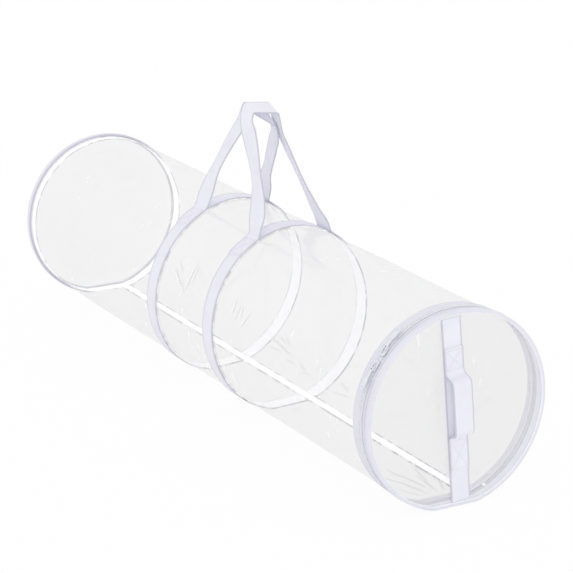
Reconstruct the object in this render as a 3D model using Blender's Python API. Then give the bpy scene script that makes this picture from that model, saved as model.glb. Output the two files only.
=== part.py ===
"""Clear zipped tube that stores rolls of gift wrap, lying on its side.

The tube runs along X with the zipped end cap at +X, Z is up, and the origin is
on the floor under the middle of the whole. All lengths are in metres.
"""

import math

import bmesh
import bpy
from mathutils import Matrix, Vector

# Overall size
OVERALL_LENGTH = 0.914
TUBE_DIAMETER = 0.231
REST_FLAT_WIDTH = 0.056

# Sheet goods
FILM_THICKNESS = 0.0004
FABRIC_THICKNESS = 0.0006
WEBBING_THICKNESS = 0.0015
WEBBING_WIDTH = 0.025
SEWN_GAP = 0.0003

# Bound rims
FAR_BINDING_WIDTH = 0.010
FAR_BINDING_LAP = 0.006
CAP_BINDING_WIDTH = 0.0085
CAP_BINDING_LAP = 0.0045
BINDING_EDGE_ROUND = 0.0005

# Zip between the tube and its end cap
GUSSET_DEPTH = 0.0327
TUBE_TAPE_WIDTH = 0.0107
TAPE_LAP_ON_FILM = 0.008
TOOTH_PITCH = 0.0044
TOOTH_LENGTH = 0.0030
TOOTH_TIP_share = 0.82
TOOTH_BAR_WIDTH = 0.0015
TOOTH_HEIGHT = 0.0017
TOOTH_WIDTH_share = 0.42
CHAIN_GAP = 0.0003

# Sewn hinge panel under the zip ends, and the seam tape along the tube
SEAM_ANGLE_DEG = 166.0
SEAM_TAPE_WIDTH = 0.016
HINGE_PANEL_WIDTH = 0.044
HINGE_SPLIT = 0.0004
ZIP_END_CLEARANCE = 0.003

# Bands round the tube
BAND_FAR_FROM_MIDDLE = -0.081
BAND_NEAR_FROM_MIDDLE = 0.076
BAND_FAR_YAW_SHIFT = -0.017
BAND_NEAR_YAW_SHIFT = -0.011
BAND_FAR_PITCH_SHIFT = 0.008
BAND_NEAR_PITCH_SHIFT = -0.004

# Carry handles, one loop on each band, gathered together over the middle
HANDLE_FAR_FRONT_ANGLE_DEG = -20.0
HANDLE_NEAR_FRONT_ANGLE_DEG = -22.0
HANDLE_BACK_ANGLE_DEG = 29.5
HANDLE_TAIL_LENGTH = 0.036
HANDLE_ROOT_LAP = 0.011
HANDLE_FOOT_CLEARANCE = 0.0012
HANDLE_TOP_Z = 0.3605
HANDLE_TOP_FRONT_Y = -0.0118
HANDLE_TOP_BACK_Y = 0.0205
HANDLE_NEST = 0.0032
HANDLE_FRONT_DROP = 0.0115
HANDLE_BACK_DROP = 0.0260
HANDLE_CORNER = 0.0045
HANDLE_CROWN_BEND = 0.0030
HANDLE_CROWN_TILT_share = 0.2
HANDLE_FAR_TOP_FROM_MIDDLE = -0.0030
HANDLE_FAR_BACK_TOP_FROM_MIDDLE = 0.0160
HANDLE_NEAR_TOP_FROM_MIDDLE = 0.0090
HANDLE_NEAR_BACK_TOP_FROM_MIDDLE = 0.0170
HANDLE_FAR_BOW_shares = (0.25, 0.10)
HANDLE_NEAR_BOW_shares = (0.45, 0.35)
HANDLE_FOOT_PLANE_shares = (0.25, 0.50)
HANDLE_CROWN_PLANE_shares = (0.83, 1.0)
HANDLE_UNTWIST_shares = (1.0, 0.875)
HANDLE_FAR_TWISTS_DEG = (0.0, 17.0)
HANDLE_NEAR_TWISTS_DEG = (-12.0, 20.0)
HANDLE_LEG_STEPS = 18
FOOT_STEP_COUNT = 5

# Strap and grip on the end cap
END_STRAP_LEAN_DEG = 5.0
END_STRAP_OFFSET_Y = -0.0033
GRIP_TOP_Z = 0.187
GRIP_LOOP_TOP_Z = 0.156
GRIP_LOOP_BOTTOM_Z = 0.085
GRIP_BOTTOM_Z = 0.043
GRIP_STANDOFF = 0.020
GRIP_SLANT = 0.0035
GRIP_BEND = 0.0060

# Zip sliders and their pulls
SLIDER_LENGTH = 0.0125
SLIDER_WIDTH = 0.0098
SLIDER_PLATE = 0.0012
SLIDER_INNER_WIDTH = 0.0080
SLIDER_INNER_GAP = 0.0005
SLIDER_NOSE_ROUND = 0.0024
SLIDER_TAIL_share = 0.78
SLIDER_UPPER_ANGLE_DEG = -47.5
SLIDER_LOWER_ANGLE_DEG = -56.5
CROWN_WIDTH = 0.0020
CROWN_BAR = 0.0009
CROWN_SPAN = 0.0076
CROWN_OPENING = 0.0021
PULL_THICKNESS = 0.0011
PULL_LENGTH = 0.0300
PULL_EYE_WIDTH = 0.0062
PULL_TIP_WIDTH = 0.0072
PULL_NECK_WIDTH = 0.0040
PULL_PIN_CLEARANCE = 0.0003
PULL_WINDOW_WIDTH = 0.0027
PULL_WINDOW_LENGTH = 0.0052
PULL_HOLE_RADIUS = 0.0013
SMALL_EDGE_ROUND = 0.0002

# Counts
BEND_STEPS = 5
ARC_STEPS = 74
FLAT_STEPS = 6
HOLE_STEPS = 12

# Derived sizes
RADIUS = TUBE_DIAMETER / 2
CENTRE_Z = math.sqrt(RADIUS ** 2 - (REST_FLAT_WIDTH / 2) ** 2)
GRIP_REACH = SEWN_GAP + WEBBING_THICKNESS + GRIP_STANDOFF
TUBE_MIDDLE_X = -GRIP_REACH / 2
FAR_X = TUBE_MIDDLE_X - OVERALL_LENGTH / 2
CAP_X = TUBE_MIDDLE_X + OVERALL_LENGTH / 2
BAND_FAR_X = TUBE_MIDDLE_X + BAND_FAR_FROM_MIDDLE
BAND_NEAR_X = TUBE_MIDDLE_X + BAND_NEAR_FROM_MIDDLE
FILM_INSET = WEBBING_THICKNESS + SEWN_GAP
FILM_INNER_INSET = FILM_INSET + FILM_THICKNESS
TUBE_TAPE_INSET = FILM_INSET - SEWN_GAP - FABRIC_THICKNESS
PANEL_INSET = TUBE_TAPE_INSET - SEWN_GAP - FABRIC_THICKNESS
CAP_TAPE_INSET = WEBBING_THICKNESS + SEWN_GAP
CAP_TAPE_INNER_INSET = CAP_TAPE_INSET + FABRIC_THICKNESS
TOOTH_INSET = PANEL_INSET + FABRIC_THICKNESS + SEWN_GAP
MOUTH_X = CAP_X - GUSSET_DEPTH
FILM_END_X = MOUTH_X + TAPE_LAP_ON_FILM
TUBE_BAR_X = MOUTH_X + TUBE_TAPE_WIDTH + SEWN_GAP
TUBE_ROOT_X = TUBE_BAR_X + TOOTH_BAR_WIDTH
CHAIN_X = TUBE_ROOT_X + (TOOTH_LENGTH + CHAIN_GAP) / 2
CAP_PIVOT = (CHAIN_X, 0, 0)
CAP_ROOT_X = TUBE_ROOT_X + TOOTH_LENGTH + CHAIN_GAP
CAP_BAR_X = CAP_ROOT_X + TOOTH_BAR_WIDTH
CAP_TAPE_X = CAP_BAR_X + SEWN_GAP
CAP_FACE_X = CAP_X - WEBBING_THICKNESS
CAP_FILM_X = CAP_FACE_X - SEWN_GAP
CAP_TAPE_END_X = CAP_FILM_X - FILM_THICKNESS - SEWN_GAP
PANEL_HALF_DEG = math.degrees(HINGE_PANEL_WIDTH / 2 / RADIUS)
ZIP_END_DEG = PANEL_HALF_DEG + math.degrees(ZIP_END_CLEARANCE / RADIUS)
ZIP_START_ANGLE_DEG = SEAM_ANGLE_DEG + ZIP_END_DEG - 360.0
ZIP_STOP_ANGLE_DEG = SEAM_ANGLE_DEG - ZIP_END_DEG
OUTER_PLATE_BASE = RADIUS - TOOTH_INSET + SEWN_GAP
INNER_PLATE_TOP = RADIUS - TOOTH_INSET - TOOTH_HEIGHT - SLIDER_INNER_GAP

# Colours and finishes
FABRIC_COLOUR = (0.82, 0.81, 0.88)
FILM_COLOUR = (0.94, 0.95, 0.96)
TOOTH_COLOUR = (0.86, 0.86, 0.90)
SLIDER_COLOUR = (0.88, 0.88, 0.91)


def make_material(name, colour, roughness, metallic=0.0, alpha=1.0):
    """A Principled material with one colour."""
    material = bpy.data.materials.new(name)
    material.use_nodes = True
    shader = material.node_tree.nodes["Principled BSDF"]
    shader.inputs["Base Color"].default_value = (*colour, 1.0)
    shader.inputs["Roughness"].default_value = roughness
    shader.inputs["Metallic"].default_value = metallic
    shader.inputs["Alpha"].default_value = alpha
    material.diffuse_color = (*colour, alpha)
    return material


def section_point(angle, inset):
    """Point of the tube's section, angle from the top towards +Y, inset inwards from the outer skin."""
    reach = RADIUS - inset
    drop = -math.cos(angle)
    if drop > 0:
        reach = min(reach, (CENTRE_Z - inset) / drop)
    return Vector((0, reach * math.sin(angle), CENTRE_Z + reach * math.cos(angle)))


def ring_angles():
    """Angles all the way round, with vertices on both ends of the flat that the tube rests on."""
    corner = math.asin(REST_FLAT_WIDTH / 2 / RADIUS)
    arc = 2 * (math.pi - corner)
    angles = [-(math.pi - corner) + arc * i / ARC_STEPS for i in range(ARC_STEPS)]
    angles += [math.pi - corner + 2 * corner * i / FLAT_STEPS for i in range(FLAT_STEPS)]
    return angles


def arc_angles(start_deg, stop_deg, steps):
    """Evenly spaced angles from start to stop."""
    return [math.radians(start_deg + (stop_deg - start_deg) * i / steps) for i in range(steps + 1)]


def add_object(name, bm, material, smooth_deg=40.0):
    """Turns a bmesh into a smooth-shaded object with its material."""
    bmesh.ops.recalc_face_normals(bm, faces=bm.faces)
    mesh = bpy.data.meshes.new(name)
    bm.to_mesh(mesh)
    bm.free()
    mesh.materials.append(material)
    mesh.shade_smooth()
    mesh.set_sharp_from_angle(angle=math.radians(smooth_deg))
    obj = bpy.data.objects.new(name, mesh)
    bpy.context.collection.objects.link(obj)
    return obj


def skin_loops(bm, loops, close_run, close_loop=True):
    """Joins each loop of points to the next with quads, and fills both ends where the run is open."""
    rows = [[bm.verts.new(p) for p in loop] for loop in loops]
    count = len(rows[0])
    last = count if close_loop else count - 1
    for i in range(len(rows) if close_run else len(rows) - 1):
        a, b = rows[i], rows[(i + 1) % len(rows)]
        for j in range(last):
            k = (j + 1) % count
            bm.faces.new((a[j], a[k], b[k], b[j]))
    if close_loop and not close_run:
        bm.faces.new(rows[0])
        bm.faces.new(reversed(rows[-1]))
    return rows


def profile_ring(name, profile, material, angles=None, shift=None):
    """Sweeps a profile of (x, inset) points round the tube's section: a full ring, or an arc with ends."""
    bm = bmesh.new()
    full = angles is None
    loops = []
    for angle in ring_angles() if full else angles:
        loop = []
        for x, inset in profile:
            point = section_point(angle, inset)
            point.x = x + (shift(point) if shift else 0)
            loop.append(point)
        loops.append(loop)
    skin_loops(bm, loops, close_run=full)
    return add_object(name, bm, material)


def strip_profile(x_low, x_high, inset, thickness):
    """Rectangular profile of a flat strip that lies on the section."""
    return [(x_low, inset), (x_high, inset), (x_high, inset + thickness), (x_low, inset + thickness)]


def binding_profile(face_x, inward, width, lap):
    """Folded binding: a leg along the tube and a leg over its end face, with rounded outer edges."""
    t = WEBBING_THICKNESS
    r = BINDING_EDGE_ROUND
    return [
        (face_x + inward * width, r),
        (face_x + inward * (width - r), 0),
        (face_x + inward * r, 0),
        (face_x, r),
        (face_x, lap - r),
        (face_x + inward * r, lap),
        (face_x + inward * t, lap),
        (face_x + inward * t, t),
        (face_x + inward * width, t),
    ]


def end_disc(name, x_outer, inset, material):
    """Flat disc of film with the section's outline, built outwards to x_outer."""
    bm = bmesh.new()
    rim = [bm.verts.new(section_point(a, inset) + Vector((x_outer, 0, 0))) for a in ring_angles()]
    face = bm.faces.new(rim)
    extruded = bmesh.ops.extrude_face_region(bm, geom=[face])["geom"]
    moved = [item for item in extruded if isinstance(item, bmesh.types.BMVert)]
    step = FILM_THICKNESS if x_outer < 0 else -FILM_THICKNESS
    bmesh.ops.translate(bm, verts=moved, vec=(step, 0, 0))
    return add_object(name, bm, material)


def zip_teeth(name, root_x, bar_x, point_x, first_tooth, material):
    """Row of zip teeth on its cord: a bar round the mouth with every second face drawn out as a tooth."""
    pitch = TOOTH_PITCH / RADIUS
    span = math.radians(ZIP_STOP_ANGLE_DEG - ZIP_START_ANGLE_DEG)
    count = int(span / pitch)
    half_tooth = pitch * TOOTH_WIDTH_share / 2
    angles = []
    for i in range(count):
        centre = math.radians(ZIP_START_ANGLE_DEG) + span * (i + first_tooth) / count
        angles += [centre - half_tooth, centre + half_tooth]
    bm = bmesh.new()
    inner = TOOTH_INSET + TOOTH_HEIGHT
    loops = []
    for angle in angles:
        outer_point = section_point(angle, TOOTH_INSET)
        inner_point = section_point(angle, inner)
        loops.append([
            outer_point + Vector((bar_x, 0, 0)),
            outer_point + Vector((root_x, 0, 0)),
            inner_point + Vector((root_x, 0, 0)),
            inner_point + Vector((bar_x, 0, 0)),
        ])
    skin_loops(bm, loops, close_run=False)
    bm.faces.ensure_lookup_table()
    teeth = [bm.faces[4 * i + 1] for i in range(0, len(loops) - 1, 2)]
    drawn = bmesh.ops.extrude_discrete_faces(bm, faces=teeth)["faces"]
    for face in drawn:
        centre = face.calc_center_median()
        for vert in face.verts:
            vert.co = centre + (vert.co - centre) * TOOTH_TIP_share
            vert.co.x = point_x
    return add_object(name, bm, material, smooth_deg=25.0)


def ribbon(name, left, right, material, thickness=WEBBING_THICKNESS):
    """Flat webbing between two edges that run side by side."""
    bm = bmesh.new()
    skin_loops(bm, [left, right], close_run=False, close_loop=False)
    obj = add_object(name, bm, material)
    solid = obj.modifiers.new("Webbing thickness", "SOLIDIFY")
    solid.thickness = thickness
    solid.offset = 0
    solid.use_even_offset = True
    return obj


def bent_route(corners, bend):
    """Straight runs between corners, with every inner corner rounded off over the bend length."""
    route = [corners[0]]
    for before, corner, after in zip(corners, corners[1:], corners[2:]):
        start = corner + (before - corner).normalized() * bend
        stop = corner + (after - corner).normalized() * bend
        for i in range(BEND_STEPS + 1):
            t = i / BEND_STEPS
            route.append(start.lerp(corner, t).lerp(corner.lerp(stop, t), t))
    route.append(corners[-1])
    return route


def smooth_ramp(value, start, stop):
    """Goes from 0 at start to 1 at stop with no kink at either end."""
    part = min(max((value - start) / (stop - start), 0), 1)
    return part * part * (3 - 2 * part)


def band_shift(yaw_shift, pitch_shift):
    """How far along the tube a slightly askew band lies at a point of the section."""
    def shift(point):
        return yaw_shift * point.y / RADIUS + pitch_shift * (point.z - CENTRE_Z) / RADIUS
    return shift


def surface_height(y, outwards):
    """Height of the bands' outer skin at a y near the top, raised outwards."""
    return CENTRE_Z + math.sqrt((RADIUS + outwards) ** 2 - y ** 2)


class HandleFoot:
    """Where one end of a carry handle stands on its band."""

    def __init__(self, x_middle, shift, angle_deg, across):
        self.angle_deg = angle_deg
        self.x_middle = x_middle
        self.shift = shift
        self.across = across
        self.inwards = 1 if angle_deg < 0 else -1
        lift = SEWN_GAP + HANDLE_FOOT_CLEARANCE
        y = RADIUS * math.sin(math.radians(angle_deg))
        self.pivot = self.on_band(y, 0) + Vector((0, 0, lift + WEBBING_WIDTH / 2))

    def on_band(self, y, outwards):
        """Middle of the band at a y near the top."""
        point = Vector((0, y, surface_height(y, outwards)))
        point.x = self.x_middle + self.shift(point)
        return point

    def tab(self, name, material):
        """Sewn end of the handle: flat on the band, then a short lap up outside the handle's foot."""
        lift = SEWN_GAP + WEBBING_THICKNESS / 2
        root_y = self.pivot.y - self.inwards * (WEBBING_THICKNESS + SEWN_GAP)
        root_deg = math.degrees(math.asin(root_y / (RADIUS + lift)))
        tail_deg = self.angle_deg - self.inwards * math.degrees(HANDLE_TAIL_LENGTH / RADIUS)
        edges = ([], [])
        for angle in arc_angles(tail_deg, root_deg, 12):
            centre = self.on_band((RADIUS + lift) * math.sin(angle), lift)
            for side, edge in zip((-1, 1), edges):
                point = centre + self.across * side * WEBBING_WIDTH / 2
                point.z = surface_height(point.y, lift)
                edge.append(point)
        for edge in edges:
            edge.append(edge[-1] + Vector((0, 0, HANDLE_ROOT_LAP)))
        return ribbon(name, *edges, material)

    def rows(self, shoulder, bow_share):
        """Handle from its rounded foot up to its shoulder, as (centre, half width)."""
        half = WEBBING_WIDTH / 2
        leg = []
        for i in range(HANDLE_LEG_STEPS + 1):
            up_share = i / HANDLE_LEG_STEPS
            point = self.pivot.lerp(shoulder, up_share)
            point.x = self.pivot.x + (shoulder.x - self.pivot.x) * up_share ** (1 + bow_share)
            leg.append((point, half))
        along = Vector((0, 0, 1)).cross(self.across)
        down = self.pivot - leg[1][0]
        down = (down - along * down.dot(along)).normalized()
        made = []
        for i in range(1, FOOT_STEP_COUNT):
            angle = math.pi / 2 * i / FOOT_STEP_COUNT
            made.append((self.pivot + down * half * math.cos(angle), half * math.sin(angle)))
        return made + leg


def handle(name, feet, top_xs, bow_shares, nest, twists_deg, material):
    """Carry handle: one loop of webbing from its front foot over the top to its back foot."""
    front, back = feet
    top_z = HANDLE_TOP_Z - nest
    front_y = HANDLE_TOP_FRONT_Y + nest
    back_y = HANDLE_TOP_BACK_Y - nest
    front_x, back_x = top_xs
    shoulders = (
        Vector((front_x, front_y, top_z - HANDLE_FRONT_DROP)),
        Vector((back_x, back_y, top_z - HANDLE_BACK_DROP)),
    )
    legs = [
        foot.rows(shoulder, bow_share)
        for foot, shoulder, bow_share in zip(feet, shoulders, bow_shares)
    ]
    crown = bent_route(
        [
            shoulders[0],
            Vector((front_x, front_y + HANDLE_CORNER, top_z)),
            Vector((back_x, back_y - HANDLE_CORNER, top_z)),
            shoulders[1],
        ],
        HANDLE_CROWN_BEND,
    )
    rows = legs[0] + [(centre, WEBBING_WIDTH / 2) for centre in crown[1:-1]] + legs[1][::-1]
    along = Vector((0, 0, 1)).cross(front.across)
    crown_across = (front.across - Vector((0, 0, HANDLE_CROWN_TILT_share))).normalized()
    left = []
    right = []
    for i, (centre, half_width) in enumerate(rows):
        ahead = (rows[min(i + 1, len(rows) - 1)][0] - rows[max(i - 1, 0)][0]).normalized()
        leg_share = min(i, len(rows) - 1 - i) / len(legs[0])
        upright = (front.across - ahead * front.across.dot(ahead)).normalized()
        in_plane = along.cross(ahead).normalized()
        if in_plane.dot(upright) < 0:
            in_plane.negate()
        freed = smooth_ramp(leg_share, *HANDLE_FOOT_PLANE_shares)
        width = in_plane.lerp(upright, freed)
        width = width.lerp(crown_across, smooth_ramp(leg_share, *HANDLE_CROWN_PLANE_shares)).normalized()
        twist = twists_deg[0] if i < len(legs[0]) else twists_deg[1]
        turned = freed * smooth_ramp(leg_share, *HANDLE_UNTWIST_shares)
        width.rotate(Matrix.Rotation(math.radians(twist) * turned, 3, ahead))
        left.append(centre - width * half_width)
        right.append(centre + width * half_width)
    obj = ribbon(name, left, right, material)
    move_origin(obj, front.pivot)
    return obj


def move_origin(obj, point):
    """Puts an object's origin on a point and leaves its shape in place."""
    obj.data.transform(Matrix.Translation(-Vector(point)))
    obj.location = point


def box_mesh(bm, low, high):
    """Adds a box between two corners."""
    size = Vector(high) - Vector(low)
    middle = (Vector(high) + Vector(low)) / 2
    made = bmesh.ops.create_cube(bm, size=1.0)["verts"]
    bmesh.ops.scale(bm, verts=made, vec=size)
    bmesh.ops.translate(bm, verts=made, vec=middle)
    return made


def slab(bm, outline, low_z, high_z):
    """Extrudes a flat outline of (x, y) points between two heights."""
    face = bm.faces.new([bm.verts.new((x, y, low_z)) for x, y in outline])
    made = bmesh.ops.extrude_face_region(bm, geom=[face])["geom"]
    verts = [item for item in made if isinstance(item, bmesh.types.BMVert)]
    bmesh.ops.translate(bm, verts=verts, vec=(0, 0, high_z - low_z))


def slider_outline(width, length, nose):
    """Outline of a slider plate: a broad nose with rounded shoulders and a narrower tail."""
    half = width / 2
    tail = half * SLIDER_TAIL_share
    return [
        (-tail, -length / 2),
        (tail, -length / 2),
        (half, length / 2 - half),
        (half, length / 2 - nose),
        (half - nose / 2, length / 2 - nose / 3),
        (half - nose, length / 2),
        (nose - half, length / 2),
        (nose / 2 - half, length / 2 - nose / 3),
        (-half, length / 2 - nose),
        (-half, length / 2 - half),
    ]


def place_on_chain(obj, angle_deg, nose_sign):
    """Stands a small part on the zip chain, its nose along the chain and its top outwards."""
    turn = Matrix.Rotation(math.radians(-angle_deg), 4, "X")
    spin = Matrix.Rotation(0 if nose_sign > 0 else math.pi, 4, "Z")
    centre = Matrix.Translation(Vector((CHAIN_X, 0, CENTRE_Z)))
    obj.data.transform(turn @ spin)
    obj.matrix_world = centre


def zip_slider(name, angle_deg, nose_sign, material):
    """Outer shell of a slider: its wing plate and the crown that the pull hangs on."""
    bm = bmesh.new()
    base = OUTER_PLATE_BASE
    top = base + SLIDER_PLATE
    slab(bm, slider_outline(SLIDER_WIDTH, SLIDER_LENGTH, SLIDER_NOSE_ROUND), base, top)
    obj = add_object(name, bm, material)
    crown_bm = bmesh.new()
    outer_top = top + CROWN_OPENING + CROWN_BAR
    half = CROWN_SPAN / 2
    arch = [
        (-half, base + SLIDER_PLATE / 2),
        (-half, outer_top - CROWN_BAR),
        (-half + CROWN_BAR, outer_top),
        (half - CROWN_BAR, outer_top),
        (half, outer_top - CROWN_BAR),
        (half, base + SLIDER_PLATE / 2),
        (half - CROWN_BAR, base + SLIDER_PLATE / 2),
        (half - CROWN_BAR, top + CROWN_OPENING),
        (-half + CROWN_BAR, top + CROWN_OPENING),
        (-half + CROWN_BAR, base + SLIDER_PLATE / 2),
    ]
    sides = [[Vector((x, y, z)) for y, z in arch] for x in (-CROWN_WIDTH / 2, CROWN_WIDTH / 2)]
    skin_loops(crown_bm, sides, close_run=False)
    crown = add_object(name + "_crown_cutter", crown_bm, material)
    crown.hide_render = True
    crown.display_type = "WIRE"
    place_on_chain(obj, angle_deg, nose_sign)
    place_on_chain(crown, angle_deg, nose_sign)
    join = obj.modifiers.new("Crown", "BOOLEAN")
    join.operation = "UNION"
    join.solver = "EXACT"
    join.object = crown
    edge = obj.modifiers.new("Cast edges", "BEVEL")
    edge.width = SMALL_EDGE_ROUND
    edge.segments = 1
    edge.limit_method = "ANGLE"
    return obj


def slider_inner_plate(name, angle_deg, nose_sign, material):
    """Inner plate of a slider, inside the tube under the chain."""
    bm = bmesh.new()
    length = SLIDER_LENGTH - 2 * SMALL_EDGE_ROUND
    outline = slider_outline(SLIDER_INNER_WIDTH, length, SLIDER_NOSE_ROUND)
    slab(bm, outline, INNER_PLATE_TOP - SLIDER_PLATE, INNER_PLATE_TOP)
    obj = add_object(name, bm, material)
    place_on_chain(obj, angle_deg, nose_sign)
    edge = obj.modifiers.new("Cast edges", "BEVEL")
    edge.width = SMALL_EDGE_ROUND
    edge.segments = 1
    return obj


def pull_pivot(angle_deg):
    """Middle of the pin that a pull turns on, under the slider's crown."""
    height = OUTER_PLATE_BASE + SLIDER_PLATE + PULL_PIN_CLEARANCE + PULL_THICKNESS / 2
    angle = math.radians(angle_deg)
    return Vector((CHAIN_X, height * math.sin(angle), CENTRE_Z + height * math.cos(angle)))


def zip_pull(name, angle_deg, nose_sign, material):
    """Flat pull tab: an eye round the slider's crown, a narrow neck and a wider tip with a hole."""
    pin = PULL_THICKNESS / 2
    eye = PULL_EYE_WIDTH / 2
    neck = PULL_NECK_WIDTH / 2
    tip = PULL_TIP_WIDTH / 2
    eye_end = pin + PULL_WINDOW_LENGTH + PULL_THICKNESS
    outline = [
        (-eye, -pin),
        (eye, -pin),
        (eye, eye_end),
        (neck, eye_end + PULL_THICKNESS),
        (neck, PULL_LENGTH / 2),
        (tip, PULL_LENGTH / 2 + tip),
        (tip, PULL_LENGTH - tip),
        (neck, PULL_LENGTH),
        (-neck, PULL_LENGTH),
        (-tip, PULL_LENGTH - tip),
        (-tip, PULL_LENGTH / 2 + tip),
        (-neck, PULL_LENGTH / 2),
        (-neck, eye_end + PULL_THICKNESS),
        (-eye, eye_end),
    ]
    bm = bmesh.new()
    slab(bm, [(x, -y) for x, y in outline], -pin, pin)
    obj = add_object(name, bm, material)
    cut_bm = bmesh.new()
    window = PULL_WINDOW_WIDTH / 2
    box_mesh(
        cut_bm,
        (-window, -pin - PULL_WINDOW_LENGTH, -PULL_THICKNESS),
        (window, -pin, PULL_THICKNESS),
    )
    bmesh.ops.create_cone(
        cut_bm, cap_ends=True, segments=HOLE_STEPS,
        radius1=PULL_HOLE_RADIUS, radius2=PULL_HOLE_RADIUS, depth=2 * PULL_THICKNESS,
        matrix=Matrix.Translation((0, -PULL_LENGTH + tip, 0)),
    )
    cutter = add_object(name + "_cutter", cut_bm, material)
    cutter.hide_render = True
    cutter.display_type = "WIRE"
    turn = Matrix.Rotation(math.radians(-angle_deg), 4, "X")
    spin = Matrix.Rotation(0 if nose_sign > 0 else math.pi, 4, "Z")
    for item in (obj, cutter):
        item.data.transform(turn @ spin)
        item.location = pull_pivot(angle_deg)
    cut = obj.modifiers.new("Window and hole", "BOOLEAN")
    cut.operation = "DIFFERENCE"
    cut.solver = "EXACT"
    cut.object = cutter
    return obj


def leaning_strap(name, profile, material):
    """Webbing on the cap's face from (x, z) centres, leaning a little about the cap's middle."""
    edges = [
        [Vector((x, side * WEBBING_WIDTH / 2, z - CENTRE_Z)) for x, z in profile]
        for side in (-1, 1)
    ]
    obj = ribbon(name, *edges, material)
    lean = Matrix.Rotation(math.radians(END_STRAP_LEAN_DEG), 4, "X")
    middle = Matrix.Translation((0, END_STRAP_OFFSET_Y, CENTRE_Z))
    obj.data.transform(middle @ lean)
    move_origin(obj, CAP_PIVOT)
    return obj


def grip_profile():
    """Centre line of the grip: sewn flat at both ends and bowed out in between."""
    flat_x = CAP_X + SEWN_GAP + WEBBING_THICKNESS / 2
    bowed_x = flat_x + GRIP_STANDOFF
    corners = [
        (flat_x, GRIP_BOTTOM_Z),
        (flat_x, GRIP_LOOP_BOTTOM_Z),
        (bowed_x, GRIP_LOOP_BOTTOM_Z + GRIP_SLANT),
        (bowed_x, GRIP_LOOP_TOP_Z - GRIP_SLANT),
        (flat_x, GRIP_LOOP_TOP_Z),
        (flat_x, GRIP_TOP_Z),
    ]
    route = bent_route([Vector((x, 0, z)) for x, z in corners], GRIP_BEND)
    return [(point.x, point.z) for point in route]


def build_tube(fabric, film, teeth):
    """Film tube, its bound far end, seam tape and the tube's half of the zip."""
    profile_ring(
        "tube_film",
        strip_profile(FAR_X + WEBBING_THICKNESS + SEWN_GAP, FILM_END_X, FILM_INSET, FILM_THICKNESS),
        film,
    )
    end_disc(
        "far_end_film",
        FAR_X + WEBBING_THICKNESS + SEWN_GAP,
        FILM_INNER_INSET + SEWN_GAP,
        film,
    )
    profile_ring(
        "far_rim_binding",
        binding_profile(FAR_X, 1, FAR_BINDING_WIDTH, FAR_BINDING_LAP),
        fabric,
    )
    seam_inset = FILM_INNER_INSET + SEWN_GAP
    half_deg = math.degrees(SEAM_TAPE_WIDTH / 2 / RADIUS)
    profile_ring(
        "seam_tape",
        strip_profile(
            FAR_X + WEBBING_THICKNESS + SEWN_GAP + FILM_THICKNESS + SEWN_GAP,
            FILM_END_X,
            seam_inset,
            FABRIC_THICKNESS,
        ),
        fabric,
        angles=arc_angles(SEAM_ANGLE_DEG - half_deg, SEAM_ANGLE_DEG + half_deg, 8),
    )
    profile_ring(
        "zip_tape_tube",
        strip_profile(MOUTH_X, MOUTH_X + TUBE_TAPE_WIDTH, TUBE_TAPE_INSET, FABRIC_THICKNESS),
        fabric,
    )
    zip_teeth("zip_teeth_tube", TUBE_ROOT_X, TUBE_BAR_X, TUBE_ROOT_X + TOOTH_LENGTH, 0.25, teeth)
    profile_ring(
        "hinge_panel_tube",
        strip_profile(MOUTH_X, CHAIN_X - HINGE_SPLIT / 2, PANEL_INSET, FABRIC_THICKNESS),
        fabric,
        angles=arc_angles(SEAM_ANGLE_DEG - PANEL_HALF_DEG, SEAM_ANGLE_DEG + PANEL_HALF_DEG, 10),
    )


def build_cap(fabric, film, teeth):
    """End cap that opens about the hinge panel, with its strap and grip."""
    pieces = [
        profile_ring(
            "zip_tape_cap",
            strip_profile(CAP_TAPE_X, CAP_TAPE_END_X, CAP_TAPE_INSET, FABRIC_THICKNESS),
            fabric,
        ),
        zip_teeth("zip_teeth_cap", CAP_ROOT_X, CAP_BAR_X, CAP_ROOT_X - TOOTH_LENGTH, 0.75, teeth),
        profile_ring(
            "cap_rim_binding",
            binding_profile(CAP_X, -1, CAP_BINDING_WIDTH, CAP_BINDING_LAP),
            fabric,
        ),
        end_disc("cap_film", CAP_FILM_X, CAP_TAPE_INSET, film),
        profile_ring(
            "hinge_panel_cap",
            strip_profile(
                CHAIN_X + HINGE_SPLIT / 2,
                CAP_X - CAP_BINDING_WIDTH - SEWN_GAP,
                PANEL_INSET,
                FABRIC_THICKNESS,
            ),
            fabric,
            angles=arc_angles(SEAM_ANGLE_DEG - PANEL_HALF_DEG, SEAM_ANGLE_DEG + PANEL_HALF_DEG, 10),
        ),
    ]
    for piece in pieces:
        move_origin(piece, CAP_PIVOT)
    reach = RADIUS - CAP_BINDING_LAP - SEWN_GAP
    bottom_reach = CENTRE_Z - CAP_BINDING_LAP - SEWN_GAP
    strap_x = CAP_FACE_X + WEBBING_THICKNESS / 2
    chord = math.sqrt(reach ** 2 - (WEBBING_WIDTH / 2 - END_STRAP_OFFSET_Y) ** 2)
    drop = math.sin(math.radians(END_STRAP_LEAN_DEG)) * WEBBING_WIDTH / 2
    leaning_strap(
        "end_strap",
        [(strap_x, CENTRE_Z - bottom_reach + drop), (strap_x, CENTRE_Z + chord - drop)],
        fabric,
    )
    leaning_strap("end_grip", grip_profile(), fabric)


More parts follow.
